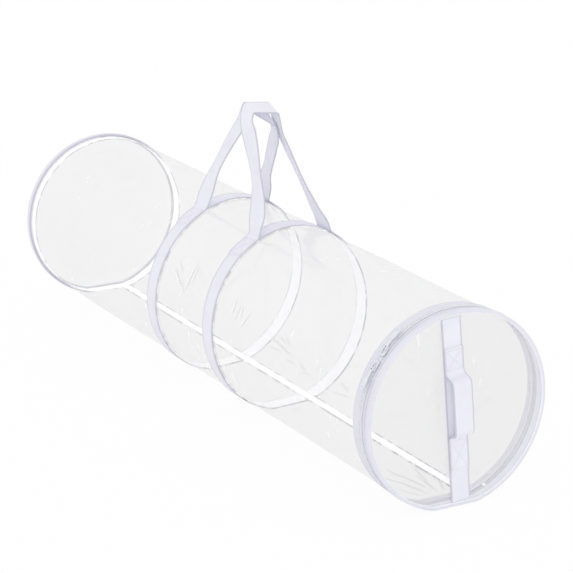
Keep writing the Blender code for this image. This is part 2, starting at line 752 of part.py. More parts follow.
def build_bands_and_handles(webbing):
    """Two bands round the tube and the two carry handles sewn to them."""
    half = WEBBING_WIDTH / 2
    far_shift = band_shift(BAND_FAR_YAW_SHIFT, BAND_FAR_PITCH_SHIFT)
    near_shift = band_shift(BAND_NEAR_YAW_SHIFT, BAND_NEAR_PITCH_SHIFT)
    bands = (("far", BAND_FAR_X, far_shift), ("near", BAND_NEAR_X, near_shift))
    for side, x_middle, shift in bands:
        profile_ring(
            "band_" + side,
            strip_profile(x_middle - half, x_middle + half, 0, WEBBING_THICKNESS),
            webbing,
            shift=shift,
        )
    across_shifts = {"far": BAND_FAR_YAW_SHIFT, "near": BAND_NEAR_YAW_SHIFT}
    front_angles = {"far": HANDLE_FAR_FRONT_ANGLE_DEG, "near": HANDLE_NEAR_FRONT_ANGLE_DEG}
    top_reaches = {
        "far": (HANDLE_FAR_TOP_FROM_MIDDLE, HANDLE_FAR_BACK_TOP_FROM_MIDDLE),
        "near": (HANDLE_NEAR_TOP_FROM_MIDDLE, HANDLE_NEAR_BACK_TOP_FROM_MIDDLE),
    }
    forms = {
        "far": (HANDLE_FAR_BOW_shares, HANDLE_NEST, HANDLE_FAR_TWISTS_DEG),
        "near": (HANDLE_NEAR_BOW_shares, 0, HANDLE_NEAR_TWISTS_DEG),
    }
    for side, x_middle, shift in bands:
        across = Vector((RADIUS, -across_shifts[side], 0)).normalized()
        front = HandleFoot(x_middle, shift, front_angles[side], across)
        back = HandleFoot(x_middle, shift, HANDLE_BACK_ANGLE_DEG, across)
        front.tab(f"handle_{side}_tab_front", webbing)
        back.tab(f"handle_{side}_tab_back", webbing)
        top_xs = [TUBE_MIDDLE_X + reach for reach in top_reaches[side]]
        handle("handle_" + side, (front, back), top_xs, *forms[side], webbing)


def build_sliders(metal):
    """Two sliders that meet nose to nose, each with its inner plate and pull."""
    for label, angle_deg, nose_sign in (
        ("upper", SLIDER_UPPER_ANGLE_DEG, -1),
        ("lower", SLIDER_LOWER_ANGLE_DEG, 1),
    ):
        zip_slider("zip_slider_" + label, angle_deg, nose_sign, metal)
        slider_inner_plate(f"zip_slider_{label}_inner_plate", angle_deg, nose_sign, metal)
        zip_pull("zip_pull_" + label, angle_deg, nose_sign, metal)


def main():
    """Clears the scene and builds every part."""
    for obj in list(bpy.data.objects):
        bpy.data.objects.remove(obj, do_unlink=True)
    fabric = make_material("White woven trim", FABRIC_COLOUR, 0.75)
    webbing = make_material("White webbing", FABRIC_COLOUR, 0.80)
    film = make_material("Clear film", FILM_COLOUR, 0.08, alpha=0.25)
    teeth = make_material("White zip teeth", TOOTH_COLOUR, 0.45)
    metal = make_material("White lacquered slider", SLIDER_COLOUR, 0.35)
    build_tube(fabric, film, teeth)
    build_cap(fabric, film, teeth)
    build_bands_and_handles(webbing)
    build_sliders(metal)


main()
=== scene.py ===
"""Dresses the clear zipped tube for rolls of gift wrap with its film, webbing, tapes and stitching.

The tube runs along X with its zipped end cap at +X, and it rests on the floor at z = 0.
All lengths are in metres.
"""

import logging
import math
import random
from dataclasses import dataclass
from enum import Enum
from typing import Callable, ClassVar, Optional, Sequence

import bmesh
import bpy
from mathutils import Matrix, Vector, noise


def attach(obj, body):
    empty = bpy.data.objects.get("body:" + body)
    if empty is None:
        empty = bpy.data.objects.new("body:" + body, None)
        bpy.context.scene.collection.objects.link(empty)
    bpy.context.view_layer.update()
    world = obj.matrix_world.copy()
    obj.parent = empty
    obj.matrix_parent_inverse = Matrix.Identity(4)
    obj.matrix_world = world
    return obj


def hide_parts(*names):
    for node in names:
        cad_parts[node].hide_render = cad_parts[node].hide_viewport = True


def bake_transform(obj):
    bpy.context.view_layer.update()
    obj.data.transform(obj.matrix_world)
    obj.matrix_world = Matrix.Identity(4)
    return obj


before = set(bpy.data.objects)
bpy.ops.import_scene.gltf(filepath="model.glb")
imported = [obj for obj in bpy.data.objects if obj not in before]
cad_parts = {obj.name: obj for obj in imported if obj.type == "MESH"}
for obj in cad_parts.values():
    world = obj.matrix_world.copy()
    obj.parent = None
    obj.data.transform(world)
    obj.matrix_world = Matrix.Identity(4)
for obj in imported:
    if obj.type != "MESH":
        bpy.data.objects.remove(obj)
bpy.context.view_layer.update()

log = logging.getLogger("gift_wrap_tube")

Point2 = tuple[float, float]
Profile = list[tuple[float, float, float]]


class Body(Enum):
    """Moving bodies that the pieces ride on."""

    TUBE = "tube"
    CAP = "cap"
    HANDLE_FAR = "carry_handle_far"
    HANDLE_NEAR = "carry_handle_near"


class Slot(Enum):
    """Material slots of the record."""

    TRIM = "woven_trim"
    WEBBING = "webbing"
    FILM = "clear_film"


# Finishes


class NodeSheet:
    """The node tree of a material or of the sky, with short ways to add and join nodes."""

    # Which sockets of a Mix node hold its colours
    first_colour: ClassVar[int] = 6
    second_colour: ClassVar[int] = 7
    mixed_colour: ClassVar[int] = 2

    def __init__(self, name: str, sky: bool = False) -> None:
        """Starts an empty material or sky.

        Args:
            name: Its name.
            sky: Whether it is a sky.
        """
        self.owner = (bpy.data.worlds if sky else bpy.data.materials).new(name)
        self.owner.use_nodes = True
        self.tree = self.owner.node_tree
        self.tree.nodes.clear()
        self.output = self.tree.nodes.new("ShaderNodeOutput" + ("World" if sky else "Material"))

    def add(self, kind: str, **sockets: object) -> bpy.types.Node:
        """Adds a node and fills its inputs.

        Args:
            kind: Node type without its ShaderNode prefix.
            **sockets: Input names with spaces as underscores, each a value or a socket to link.

        Returns:
            The new node.
        """
        node = self.tree.nodes.new("ShaderNode" + kind)
        for label, value in sockets.items():
            self.feed(node.inputs[label.replace("_", " ")], value)
        return node

    def feed(self, socket: bpy.types.NodeSocket, value: object) -> None:
        """Links a socket to an input, or sets the input's value."""
        if isinstance(value, bpy.types.NodeSocket):
            self.tree.links.new(value, socket)
        else:
            socket.default_value = value

    def math(self, operation: str, *values: object) -> bpy.types.NodeSocket:
        """Adds a Math node.

        Args:
            operation: Blender's name for the operation.
            *values: Numbers or sockets for its inputs, in order.

        Returns:
            The node's result.
        """
        node = self.tree.nodes.new("ShaderNodeMath")
        node.operation = operation
        for socket, value in zip(node.inputs, values):
            self.feed(socket, value)
        return node.outputs[0]

    def ramp(
        self, value: object, low: float, high: float, start: float, stop: float
    ) -> bpy.types.NodeSocket:
        """Maps a value from one range to another, smoothly and clamped.

        Args:
            value: The socket to map.
            low: Where the incoming range starts.
            high: Where it ends.
            start: Result at low.
            stop: Result at high.

        Returns:
            The mapped value.
        """
        node = self.tree.nodes.new("ShaderNodeMapRange")
        node.interpolation_type = "SMOOTHSTEP"
        for socket, item in zip(node.inputs, (value, low, high, start, stop)):
            self.feed(socket, item)
        return node.outputs["Result"]

    def noise(self, vector: object, scale: float, detail: float = 2.0) -> bpy.types.NodeSocket:
        """Adds a noise texture and returns its value."""
        node = self.add("TexNoise", Vector=vector, Scale=scale, Detail=detail)
        return node.outputs["Fac"]

    def object_place(self) -> bpy.types.NodeSocket:
        """Coordinates that stay with the piece."""
        return self.tree.nodes.new("ShaderNodeTexCoord").outputs["Object"]

    def mesh_value(self, name: str) -> bpy.types.NodeSocket:
        """A value that the mesh carries at its points, 0 where it has none."""
        node = self.tree.nodes.new("ShaderNodeAttribute")
        node.attribute_name = name
        return node.outputs["Fac"]

    def mix_colour(self, share: object, first: object, second: object) -> bpy.types.NodeSocket:
        """Mixes two colours.

        Args:
            share: How much of the second colour shows.
            first: A colour or a colour socket.
            second: A colour or a colour socket.

        Returns:
            The mixed colour.
        """
        node = self.tree.nodes.new("ShaderNodeMix")
        node.data_type = "RGBA"
        self.feed(node.inputs["Factor"], share)
        self.feed(node.inputs[self.first_colour], first)
        self.feed(node.inputs[self.second_colour], second)
        return node.outputs[self.mixed_colour]

    def mix_shader(self, share: object, first: bpy.types.Node, second: bpy.types.Node) -> bpy.types.Node:
        """Mixes two shaders, with share as how much of the second shows."""
        node = self.add("MixShader", Fac=share)
        self.feed(node.inputs[1], first.outputs[0])
        self.feed(node.inputs[2], second.outputs[0])
        return node

    def seen_directly(self) -> bpy.types.NodeSocket:
        """1 for the camera, in a gloss and through the film, and 0 for light that falls on things."""
        path = self.tree.nodes.new("ShaderNodeLightPath")
        seen = self.math("MAXIMUM", path.outputs["Is Camera Ray"], path.outputs["Is Glossy Ray"])
        return self.math("MAXIMUM", seen, path.outputs["Is Transmission Ray"])

    def finish(self, shader: bpy.types.Node) -> bpy.types.ID:
        """Sends a shader to the output and returns the material or sky."""
        self.tree.links.new(shader.outputs[0], self.output.inputs["Surface"])
        return self.owner


@dataclass(frozen=True)
class WovenFinish:
    """White woven polyester: ribs across the run, a plain weave with painted shade in its hollows, soft
    sheen, greyer woven edges and an optional painted glow.
    """

    fuzz_scale: ClassVar[float] = 2600.0
    cloud_scale: ClassVar[float] = 38.0
    break_scale: ClassVar[float] = 70.0

    name: str
    colour: tuple[float, float, float]
    shade: tuple[float, float, float]
    edge_shade: tuple[float, float, float]
    half_width: float
    rib_pitch: float
    yarn_pitch: float
    relief: float
    edge_line: float = 0.0014
    roughness: float = 0.78
    # Strength of a painted glow: the tape gives off white light, dimmed at its edges, though it is no lamp.
    painted_glow: float = 0.0
    broken_edges: bool = False

    def make(self) -> bpy.types.Material:
        """Builds the material from the mesh's cloth coordinates.

        Returns:
            The finished material.
        """
        sheet = NodeSheet(self.name)
        cloth = sheet.tree.nodes.new("ShaderNodeUVMap")
        cloth.uv_map = "cloth"
        split = sheet.add("SeparateXYZ", Vector=cloth.outputs["UV"])
        along, across = split.outputs["X"], split.outputs["Y"]
        rib = sheet.math("SINE", sheet.math("MULTIPLY", along, 2 * math.pi / self.rib_pitch))
        yarn = sheet.math("SINE", sheet.math("MULTIPLY", across, 2 * math.pi / self.yarn_pitch))
        weave = sheet.math("MULTIPLY_ADD", sheet.math("MULTIPLY", rib, yarn), 0.5, 0.5)
        place = sheet.object_place()
        fuzz = sheet.noise(place, self.fuzz_scale, 3.0)
        cloud = sheet.noise(place, self.cloud_scale, 3.0)
        edge = sheet.ramp(
            sheet.math("ABSOLUTE", across),
            self.half_width - self.edge_line,
            self.half_width - 0.6 * self.edge_line,
            0.0,
            1.0,
        )
        if self.broken_edges:
            breaks = sheet.noise(place, self.break_scale, 3.0)
            edge = sheet.math("MULTIPLY", edge, sheet.ramp(breaks, 0.42, 0.58, 0.25, 1.0))
        height = sheet.math("MULTIPLY_ADD", fuzz, 0.45, weave)
        # Painted shade: the weave's hollows take the shade colour, together with random stains from the
        # cloud noise.
        painted_hollow_shade = sheet.math("MULTIPLY", sheet.math("SUBTRACT", 1.0, weave), 0.30)
        stain = sheet.ramp(cloud, 0.35, 0.75, 0.0, 0.20)
        share = sheet.math("ADD", painted_hollow_shade, stain)
        bump = sheet.add("Bump", Strength=0.55, Distance=self.relief, Height=height)
        face_colour = sheet.mix_colour(share, (*self.colour, 1.0), (*self.shade, 1.0))
        # Emission is the painted glow, dimmed to the edge colour at the edges.
        shader = sheet.add(
            "BsdfPrincipled",
            Base_Color=sheet.mix_colour(edge, face_colour, (*self.edge_shade, 1.0)),
            Roughness=sheet.ramp(fuzz, 0.2, 0.8, self.roughness - 0.1, self.roughness + 0.12),
            Normal=bump.outputs["Normal"],
            Sheen_Weight=0.25,
            Sheen_Roughness=0.45,
            Emission_Color=sheet.mix_colour(edge, (1.0, 1.0, 1.0, 1.0), (*self.edge_shade, 1.0)),
            Emission_Strength=self.painted_glow,
        )
        shader.inputs["Specular IOR Level"].default_value = 0.25
        return sheet.finish(shader)


@dataclass(frozen=True)
class FilmFinish:
    """Clear vinyl film: see-through, a little milky, glossy on its waves, with scuff marks that show as
    painted glints, and creases.

    A crease shows as a painted shade line, a darker see-through tint along its fold, with a painted
    highlight line of shine beside it.
    The mesh says where, in its fold_shade and fold_shine values.
    """

    glint_streak_scale: ClassVar[float] = 34.0
    scuff_glint_patch_scale: ClassVar[float] = 13.0
    smudge_scale: ClassVar[float] = 14.0
    ripple_scale: ClassVar[float] = 4.5
    lit_tint: ClassVar[float] = 0.97

    name: str
    tint: tuple[float, float, float]
    milk: tuple[float, float, float]
    milk_share: float
    gloss_share: float
    wave_scale: float
    relief: float
    scuff_glint_stretch: tuple[float, float, float]
    scuff_glint_share: float = 0.85
    fold_shade_tint: float = 0.70

    def scuffs_and_glints(self, sheet: NodeSheet, place: bpy.types.NodeSocket) -> bpy.types.NodeSocket:
        """Adds sparse white scratches and scuff marks, drawn as painted glints: a strong mirror share that
        reflects white.

        Args:
            sheet: The material's node sheet.
            place: Coordinates that stay with the piece.

        Returns:
            How much painted glint the scratches and scuff marks give, from 0 to 1.
        """
        turned = sheet.add("Mapping", Vector=place, Rotation=(0.5, 0.3, 0.2), Scale=self.scuff_glint_stretch)
        streak = sheet.ramp(sheet.noise(turned.outputs[0], self.glint_streak_scale, 5.0), 0.625, 0.68, 0.0, 1.0)
        patch = sheet.ramp(sheet.noise(place, self.scuff_glint_patch_scale, 1.0), 0.50, 0.66, 0.0, 1.0)
        return sheet.math("MULTIPLY", sheet.math("MULTIPLY", streak, patch), self.scuff_glint_share)

    def make(self) -> bpy.types.Material:
        """Builds the material.

        Returns:
            The finished material.
        """
        sheet = NodeSheet(self.name)
        place = sheet.object_place()
        waves = sheet.noise(place, self.wave_scale, 3.0)
        ripple = sheet.noise(place, self.wave_scale * self.ripple_scale, 2.0)
        height = sheet.math("MULTIPLY_ADD", ripple, 0.25, waves)
        bump = sheet.add("Bump", Strength=0.35, Distance=self.relief, Height=height)
        smudge = sheet.noise(place, self.smudge_scale, 4.0)
        # Painted shade: creases darken the film's see-through tint.
        crease_shade_colour = tuple(share * self.fold_shade_tint for share in self.tint)
        shade = sheet.mesh_value("fold_shade")
        tint = sheet.mix_colour(shade, (*self.tint, 1.0), (*crease_shade_colour, 1.0))
        clear = sheet.add("BsdfTransparent", Color=tint)
        milk = sheet.add("BsdfPrincipled", Base_Color=(*self.milk, 1.0), Roughness=0.35)
        milk_share = sheet.ramp(smudge, 0.3, 0.8, self.milk_share * 0.85, self.milk_share * 1.2)
        body = sheet.mix_shader(milk_share, clear, milk)
        gloss = sheet.add(
            "BsdfGlossy",
            Color=(1.0, 1.0, 1.0, 1.0),
            Roughness=sheet.ramp(smudge, 0.3, 0.8, 0.12, 0.22),
            Normal=bump.outputs["Normal"],
        )
        fresnel = sheet.add("LayerWeight", Blend=0.22, Normal=bump.outputs["Normal"])
        gloss_share = sheet.math("MULTIPLY_ADD", fresnel.outputs["Fresnel"], 0.2, self.gloss_share)
        # Painted highlights: the scuff marks and the crease shine raise the mirror share so that they
        # reflect white.
        marks = sheet.math("MAXIMUM", self.scuffs_and_glints(sheet, place), sheet.mesh_value("fold_shine"))
        gloss_share = sheet.math("MAXIMUM", gloss_share, marks)
        seen = sheet.mix_shader(gloss_share, body, gloss)
        lit = sheet.add("BsdfTransparent", Color=(self.lit_tint, self.lit_tint, self.lit_tint, 1.0))
        path = sheet.tree.nodes.new("ShaderNodeLightPath")
        return sheet.finish(sheet.mix_shader(path.outputs["Is Shadow Ray"], seen, lit))


@dataclass(frozen=True)
class HardFinish:
    """Moulded teeth and lacquered sliders: a plain colour with soft wear and fine unevenness."""

    patch_scale: ClassVar[float] = 420.0
    grain_scale: ClassVar[float] = 3200.0
    grain_depth: ClassVar[float] = 0.00006

    name: str
    colour: tuple[float, float, float]
    worn: tuple[float, float, float]
    roughness: float
    coat: float

    def make(self) -> bpy.types.Material:
        """Builds the material.

        Returns:
            The finished material.
        """
        sheet = NodeSheet(self.name)
        place = sheet.object_place()
        patch = sheet.noise(place, self.patch_scale, 3.0)
        grain = sheet.noise(place, self.grain_scale, 2.0)
        bump = sheet.add("Bump", Strength=0.25, Distance=self.grain_depth, Height=grain)
        shader = sheet.add(
            "BsdfPrincipled",
            Base_Color=sheet.mix_colour(
                sheet.ramp(patch, 0.45, 0.75, 0.0, 0.7), (*self.colour, 1.0), (*self.worn, 1.0)
            ),
            Roughness=sheet.ramp(patch, 0.3, 0.7, self.roughness - 0.08, self.roughness + 0.12),
            Normal=bump.outputs["Normal"],
            Coat_Weight=self.coat,
            Coat_Roughness=0.18,
        )
        return sheet.finish(shader)


@dataclass(frozen=True)
class Finishes:
    """Every material of the tube, made once."""

    webbing: bpy.types.Material
    lining: bpy.types.Material
    binding: bpy.types.Material
    binding_lining: bpy.types.Material
    seam: bpy.types.Material
    tape: bpy.types.Material
    cap_lining: bpy.types.Material
    thread: bpy.types.Material
    film: bpy.types.Material
    disc_film: bpy.types.Material
    teeth: bpy.types.Material
    lacquer: bpy.types.Material

    @classmethod
    def make(cls) -> "Finishes":
        """Makes all materials."""
        lilac = {
            "colour": (0.85, 0.845, 0.92), "shade": (0.68, 0.67, 0.76), "edge_shade": (0.60, 0.59, 0.68),
        }
        white = {
            "colour": (0.95, 0.95, 0.96), "shade": (0.86, 0.86, 0.88), "edge_shade": (0.22, 0.22, 0.25),
        }
        weave = {"half_width": 0.0125, "rib_pitch": 0.0016, "yarn_pitch": 0.0021, "edge_line": 0.0020}
        narrow = {"half_width": 0.0090, "rib_pitch": 0.0011, "yarn_pitch": 0.0014, "relief": 0.00010}
        fine = {"half_width": 0.0063, "rib_pitch": 0.0009, "yarn_pitch": 0.0012, "relief": 0.00008}
        # A painted glow on the inner faces so that they show white through the film.
        inside = {"painted_glow": 0.36, "broken_edges": True}
        clear = {"milk": (0.91, 0.91, 0.915), "milk_share": 0.20, "gloss_share": 0.02, "relief": 0.0012}
        return cls(
            # A faint painted glow lifts the webbing's shaded sides.
            webbing=WovenFinish(
                "White webbing", relief=0.00016, painted_glow=0.05, **weave, **lilac
            ).make(),
            # Painted light: the webbing's inner faces get a whiter copy of its finish with a painted glow,
            # so they show bright through the film.
            lining=WovenFinish("Webbing lining", relief=0.00012, **weave, **white, **inside).make(),
            binding=WovenFinish("Binding tape", **narrow, **lilac).make(),
            # The binding's inner leg and the seam tape inside the film get a white copy with the painted
            # glow.
            binding_lining=WovenFinish("Binding lining", **narrow, **white, **inside).make(),
            seam=WovenFinish("Seam tape", **fine, **white, **inside).make(),
            tape=WovenFinish("Zip tape", **fine, **lilac).make(),
            # Painted light: the cap's inner faces get a copy of the zip tape finish with a painted glow.
            cap_lining=WovenFinish("Cap lining", painted_glow=0.15, **fine, **lilac).make(),
            thread=HardFinish("Sewing thread", (0.70, 0.69, 0.78), (0.60, 0.59, 0.68), 0.6, 0.0).make(),
            film=FilmFinish(
                "Tube film", (0.948, 0.948, 0.950), wave_scale=26.0, scuff_glint_stretch=(5.0, 1.0, 1.6), **clear
            ).make(),
            disc_film=FilmFinish(
                "Disc film", (0.935, 0.935, 0.937), wave_scale=20.0, scuff_glint_stretch=(1.0, 5.0, 1.4), **clear
            ).make(),
            teeth=HardFinish("White zip teeth", (0.84, 0.84, 0.89), (0.70, 0.70, 0.77), 0.38, 0.15).make(),
            lacquer=HardFinish("White lacquer", (0.84, 0.835, 0.90), (0.66, 0.66, 0.72), 0.30, 0.5).make(),
        )


# Mesh tools


@dataclass(frozen=True)
class TubeSection:
    """Round section of the tube, flattened where it rests on the floor."""

    radius: float = 0.1155
    rest_width: float = 0.056

    @property
    def centre_z(self) -> float:
        """Height of the section's middle."""
        return math.sqrt(self.radius**2 - (self.rest_width / 2) ** 2)

    def point(self, angle: float, inset: float) -> Vector:
        """Finds a point of the section.

        Args:
            angle: Angle from the top towards +Y, in radians.
            inset: Depth under the outer skin.

        Returns:
            The point, at x = 0.
        """
        reach = self.radius - inset
        drop = -math.cos(angle)
        if drop > 0:
            reach = min(reach, (self.centre_z - inset) / drop)
        return Vector((0.0, reach * math.sin(angle), self.centre_z + reach * math.cos(angle)))

    def top(self, y: float, lift: float) -> float:
        """Height of the outer skin, raised by lift, at a y near the top."""
        return self.centre_z + math.sqrt((self.radius + lift) ** 2 - y**2)


SECTION = TubeSection()

# Soft edge of a strip as a share of its thickness, and its corner as a share of that edge
EDGE_SHARE = 0.45
CORNER_SHARE = 0.3

# Steps round the tube of the narrow tapes
RING_STEPS = 240

# How close together the waves of sewn cloth lie, round the tube and along it
PUCKERS_ROUND = 9.5
PUCKERS_ALONG = 60.0

# Faces turned further inwards than this get the inner-face finish, a brighter glowing copy that is painted
# light
INWARD_TURN = -0.3


def angle_run(start_deg: float, stop_deg: float, steps: int) -> list[float]:
    """Evenly spaced angles from start to stop, in radians."""
    return [math.radians(start_deg + (stop_deg - start_deg) * i / steps) for i in range(steps + 1)]


def round_angles(steps: int) -> list[float]:
    """Evenly spaced angles all round the section, in radians."""
    return [-math.pi + 2 * math.pi * i / steps for i in range(steps)]


def smooth(value: float, start: float, stop: float) -> float:
    """Goes from 0 at start to 1 at stop with no kink at either end."""
    part = min(max((value - start) / (stop - start), 0.0), 1.0)
    return part * part * (3 - 2 * part)


def add_object(name: str, data: bpy.types.ID) -> bpy.types.Object:
    """Makes an object of a mesh, a lamp or a camera and puts it in the scene."""
    obj = bpy.data.objects.new(name, data)
    bpy.context.collection.objects.link(obj)
    return obj


def lay_mesh(
    name: str,
    rows: Sequence[Sequence[Vector]],
    along: Sequence[float],
    across: Sequence[float],
    material: bpy.types.Material,
    ring: bool = False,
    sharp_deg: float = 50.0,
    ends: tuple[bool, bool] = (True, True),
) -> bpy.types.Object:
    """Skins rows of points and gives them cloth coordinates.

    Args:
        name: Name of the piece.
        rows: Points, row by row; every row has as many points as across has numbers.
        along: Place of each row along the run, and one more number where the rows close to a ring.
        across: Place of each column across the run.
        material: The piece's material.
        ring: Whether the last row joins the first.
        sharp_deg: Edges turned further than this stay sharp.
        ends: Whether the first and the last row of an open run are closed with a face.

    Returns:
        The new object.
    """
    count = len(rows[0])
    verts = [point for row in rows for point in row]
    faces = []
    cloth = []
    for i in range(len(rows) if ring else len(rows) - 1):
        nxt = (i + 1) % len(rows)
        for j in range(count):
            k = (j + 1) % count
            faces.append((i * count + j, i * count + k, nxt * count + k, nxt * count + j))
            cloth += [
                (along[i], across[j]), (along[i], across[k]),
                (along[i + 1], across[k]), (along[i + 1], across[j]),
            ]
    if not ring and ends[0]:
        faces.append(tuple(reversed(range(count))))
        cloth += [(along[0], a) for a in reversed(across)]
    if not ring and ends[1]:
        faces.append(tuple((len(rows) - 1) * count + j for j in range(count)))
        cloth += [(along[-1], a) for a in across]
    mesh = bpy.data.meshes.new(name)
    mesh.from_pydata([tuple(v) for v in verts], [], faces)
    layer = mesh.uv_layers.new(name="cloth")
    layer.data.foreach_set("uv", [c for pair in cloth for c in pair])
    mesh.materials.append(material)
    mesh.validate()
    mesh.shade_smooth()
    mesh.set_sharp_from_angle(angle=math.radians(sharp_deg))
    return add_object(name, mesh)


def turned_out(obj: bpy.types.Object) -> bpy.types.Object:
    """Turns a closed mesh's faces outwards."""
    bm = bmesh.new()
    bm.from_mesh(obj.data)
    bmesh.ops.recalc_face_normals(bm, faces=bm.faces)
    bm.to_mesh(obj.data)
    bm.free()
    return obj


def strip_profile(
    low: float, high: float, inset: float, thickness: float, columns: int = 8
) -> Profile:
    """Closed profile of a flat strip with soft edges, as (x, inset, cloth place across).

    Args:
        low: Lower x of the strip.
        high: Upper x of the strip.
        inset: Depth of its outer face.
        thickness: Its thickness.
        columns: Faces across each side.

    Returns:
        The profile's points.
    """
    edge = thickness * EDGE_SHARE
    corner = edge * CORNER_SHARE
    base = inset + thickness
    middle = (low + high) / 2
    top = [low + edge + (high - low - 2 * edge) * i / columns for i in range(columns + 1)]
    outline = [(low, inset + edge), (low + corner, inset + corner)]
    outline += [(x, inset) for x in top]
    outline += [(high - corner, inset + corner), (high, inset + edge)]
    outline += [(high, base - edge), (high - corner, base - corner)]
    outline += [(x, base) for x in reversed(top)]
    outline += [(low + corner, base - corner), (low, base - edge)]
    return [(x, depth, x - middle) for x, depth in outline]


def ring_piece(
    name: str,
    profile: Profile,
    angles: Sequence[float],
    material: bpy.types.Material,
    full: bool = True,
    shift: Optional[Callable[[Vector], float]] = None,
    pucker: float = 0.0,
    lining: Optional[bpy.types.Material] = None,
) -> bpy.types.Object:
    """Sweeps a profile round the tube's section.

    Args:
        name: Name of the piece.
        profile: Points as (x, inset, cloth place across).
        angles: Angles of the rows.
        material: Material of the outer side.
        full: Whether the rows close to a ring.
        shift: How far along X the piece lies at a point of the section.
        pucker: Height of the small waves that sewing leaves.
        lining: Material of the faces that look into the tube.

    Returns:
        The new object.
    """
    rows = []
    for angle in angles:
        row = []
        for x, inset, _ in profile:
            ripple = 0.0
            if pucker:
                place = Vector((
                    x * PUCKERS_ALONG, math.sin(angle) * PUCKERS_ROUND, math.cos(angle) * PUCKERS_ROUND
                ))
                ripple = pucker * (0.5 + 0.5 * noise.noise(place))
            point = SECTION.point(angle, inset + ripple)
            point.x = x + (shift(point) if shift else 0.0)
            row.append(point)
        rows.append(row)
    along = [angle * SECTION.radius for angle in angles]
    if full:
        along.append(along[0] + 2 * math.pi * SECTION.radius)
    piece = lay_mesh(name, rows, along, [place for _, _, place in profile], material, ring=full)
    turned_out(piece)
    # The inner faces take the brighter, glowing copy of the finish: painted light.
    if lining is not None:
        piece.data.materials.append(lining)
        for face in piece.data.polygons:
            outward = Vector((0.0, face.center.y, face.center.z - SECTION.centre_z)).normalized()
            face.material_index = 1 if face.normal.dot(outward) < INWARD_TURN else 0
    return piece


class Seam:
    """Rows of small stitches that lie along lines on a surface."""

    # Each section's place along the stitch, its share of the width and its height
    sections: ClassVar[Profile] = [
        (-0.5, 0.45, -0.3), (-0.22, 1.0, 0.5), (0.22, 1.0, 0.5), (0.5, 0.45, -0.3),
    ]
    corners: ClassVar[list[Point2]] = [(-0.5, 0.0), (0.0, 0.5), (0.5, 0.0), (0.0, -0.5)]
    arch: ClassVar[float] = 0.4

    def __init__(self, pitch: float = 0.0034, length: float = 0.0024, width: float = 0.00045) -> None:
        """Starts a seam with no stitches.

        Args:
            pitch: Distance from stitch to stitch.
            length: Length of a stitch.
            width: Width of the thread.
        """
        self.pitch = pitch
        self.length = length
        self.width = width
        self.verts: list[tuple[float, float, float]] = []
        self.faces: list[tuple[int, ...]] = []

    def run(self, points: Sequence[Vector], normals: Sequence[Vector]) -> None:
        """Sews along a line.

        Args:
            points: The line's points on the surface.
            normals: The surface's outward direction at each.
        """
        travelled = 0.0
        due = self.pitch / 2
        for start, stop, normal in zip(points, points[1:], normals):
            step = stop - start
            if step.length == 0:
                continue
            while travelled + step.length >= due:
                centre = start + step * ((due - travelled) / step.length)
                self.stitch(centre, step.normalized(), normal)
                due += self.pitch
            travelled += step.length

    def stitch(self, centre: Vector, ahead: Vector, up: Vector) -> None:
        """Adds one stitch: a short thread with sunk ends."""
        side = ahead.cross(up).normalized()
        first = len(self.verts)
        for reach, swell, rise in self.sections:
            for across, height in self.corners:
                point = (
                    centre
                    + ahead * self.length * reach
                    + side * self.width * swell * across
                    + up * self.width * (height * swell + rise * self.arch)
                )
                self.verts.append(tuple(point))
        for i in range(3):
            for j in range(4):
                k = (j + 1) % 4
                a, b = first + 4 * i, first + 4 * (i + 1)
                self.faces.append((a + j, a + k, b + k, b + j))
        self.faces.append((first + 3, first + 2, first + 1, first))
        self.faces.append((first + 12, first + 13, first + 14, first + 15))

    def make(self, name: str, material: bpy.types.Material) -> bpy.types.Object:
        """Makes the seam's object.

        Args:
            name: Name of the piece.
            material: The thread's material.

        Returns:
            The new object.
        """
        mesh = bpy.data.meshes.new(name)
        mesh.from_pydata(self.verts, [], self.faces)
        mesh.materials.append(material)
        mesh.shade_smooth()
        return turned_out(add_object(name, mesh))


def ring_seam(
    seam: Seam,
    x: float,
    angles: Sequence[float],
    inset: float,
    shift: Optional[Callable[[Vector], float]] = None,
) -> None:
    """Sews a row of stitches round the tube.

    Args:
        seam: The seam to add to.
        x: Where the row lies along the tube.
        angles: Angles that the row runs through, once round.
        inset: Depth of the surface that it lies on.
        shift: How far along X the surface lies at a point of the section.
    """
    points, normals = [], []
    for angle in (*angles, angles[0]):
        point = SECTION.point(angle, inset)
        normals.append(Vector((0.0, math.sin(angle), math.cos(angle))))
        point.x = x + (shift(point) if shift else 0.0)
        points.append(point)
    seam.run(points, normals)


@dataclass
class WebbingRow:
    """One place on a run of webbing."""

    centre: Vector
    width: Vector


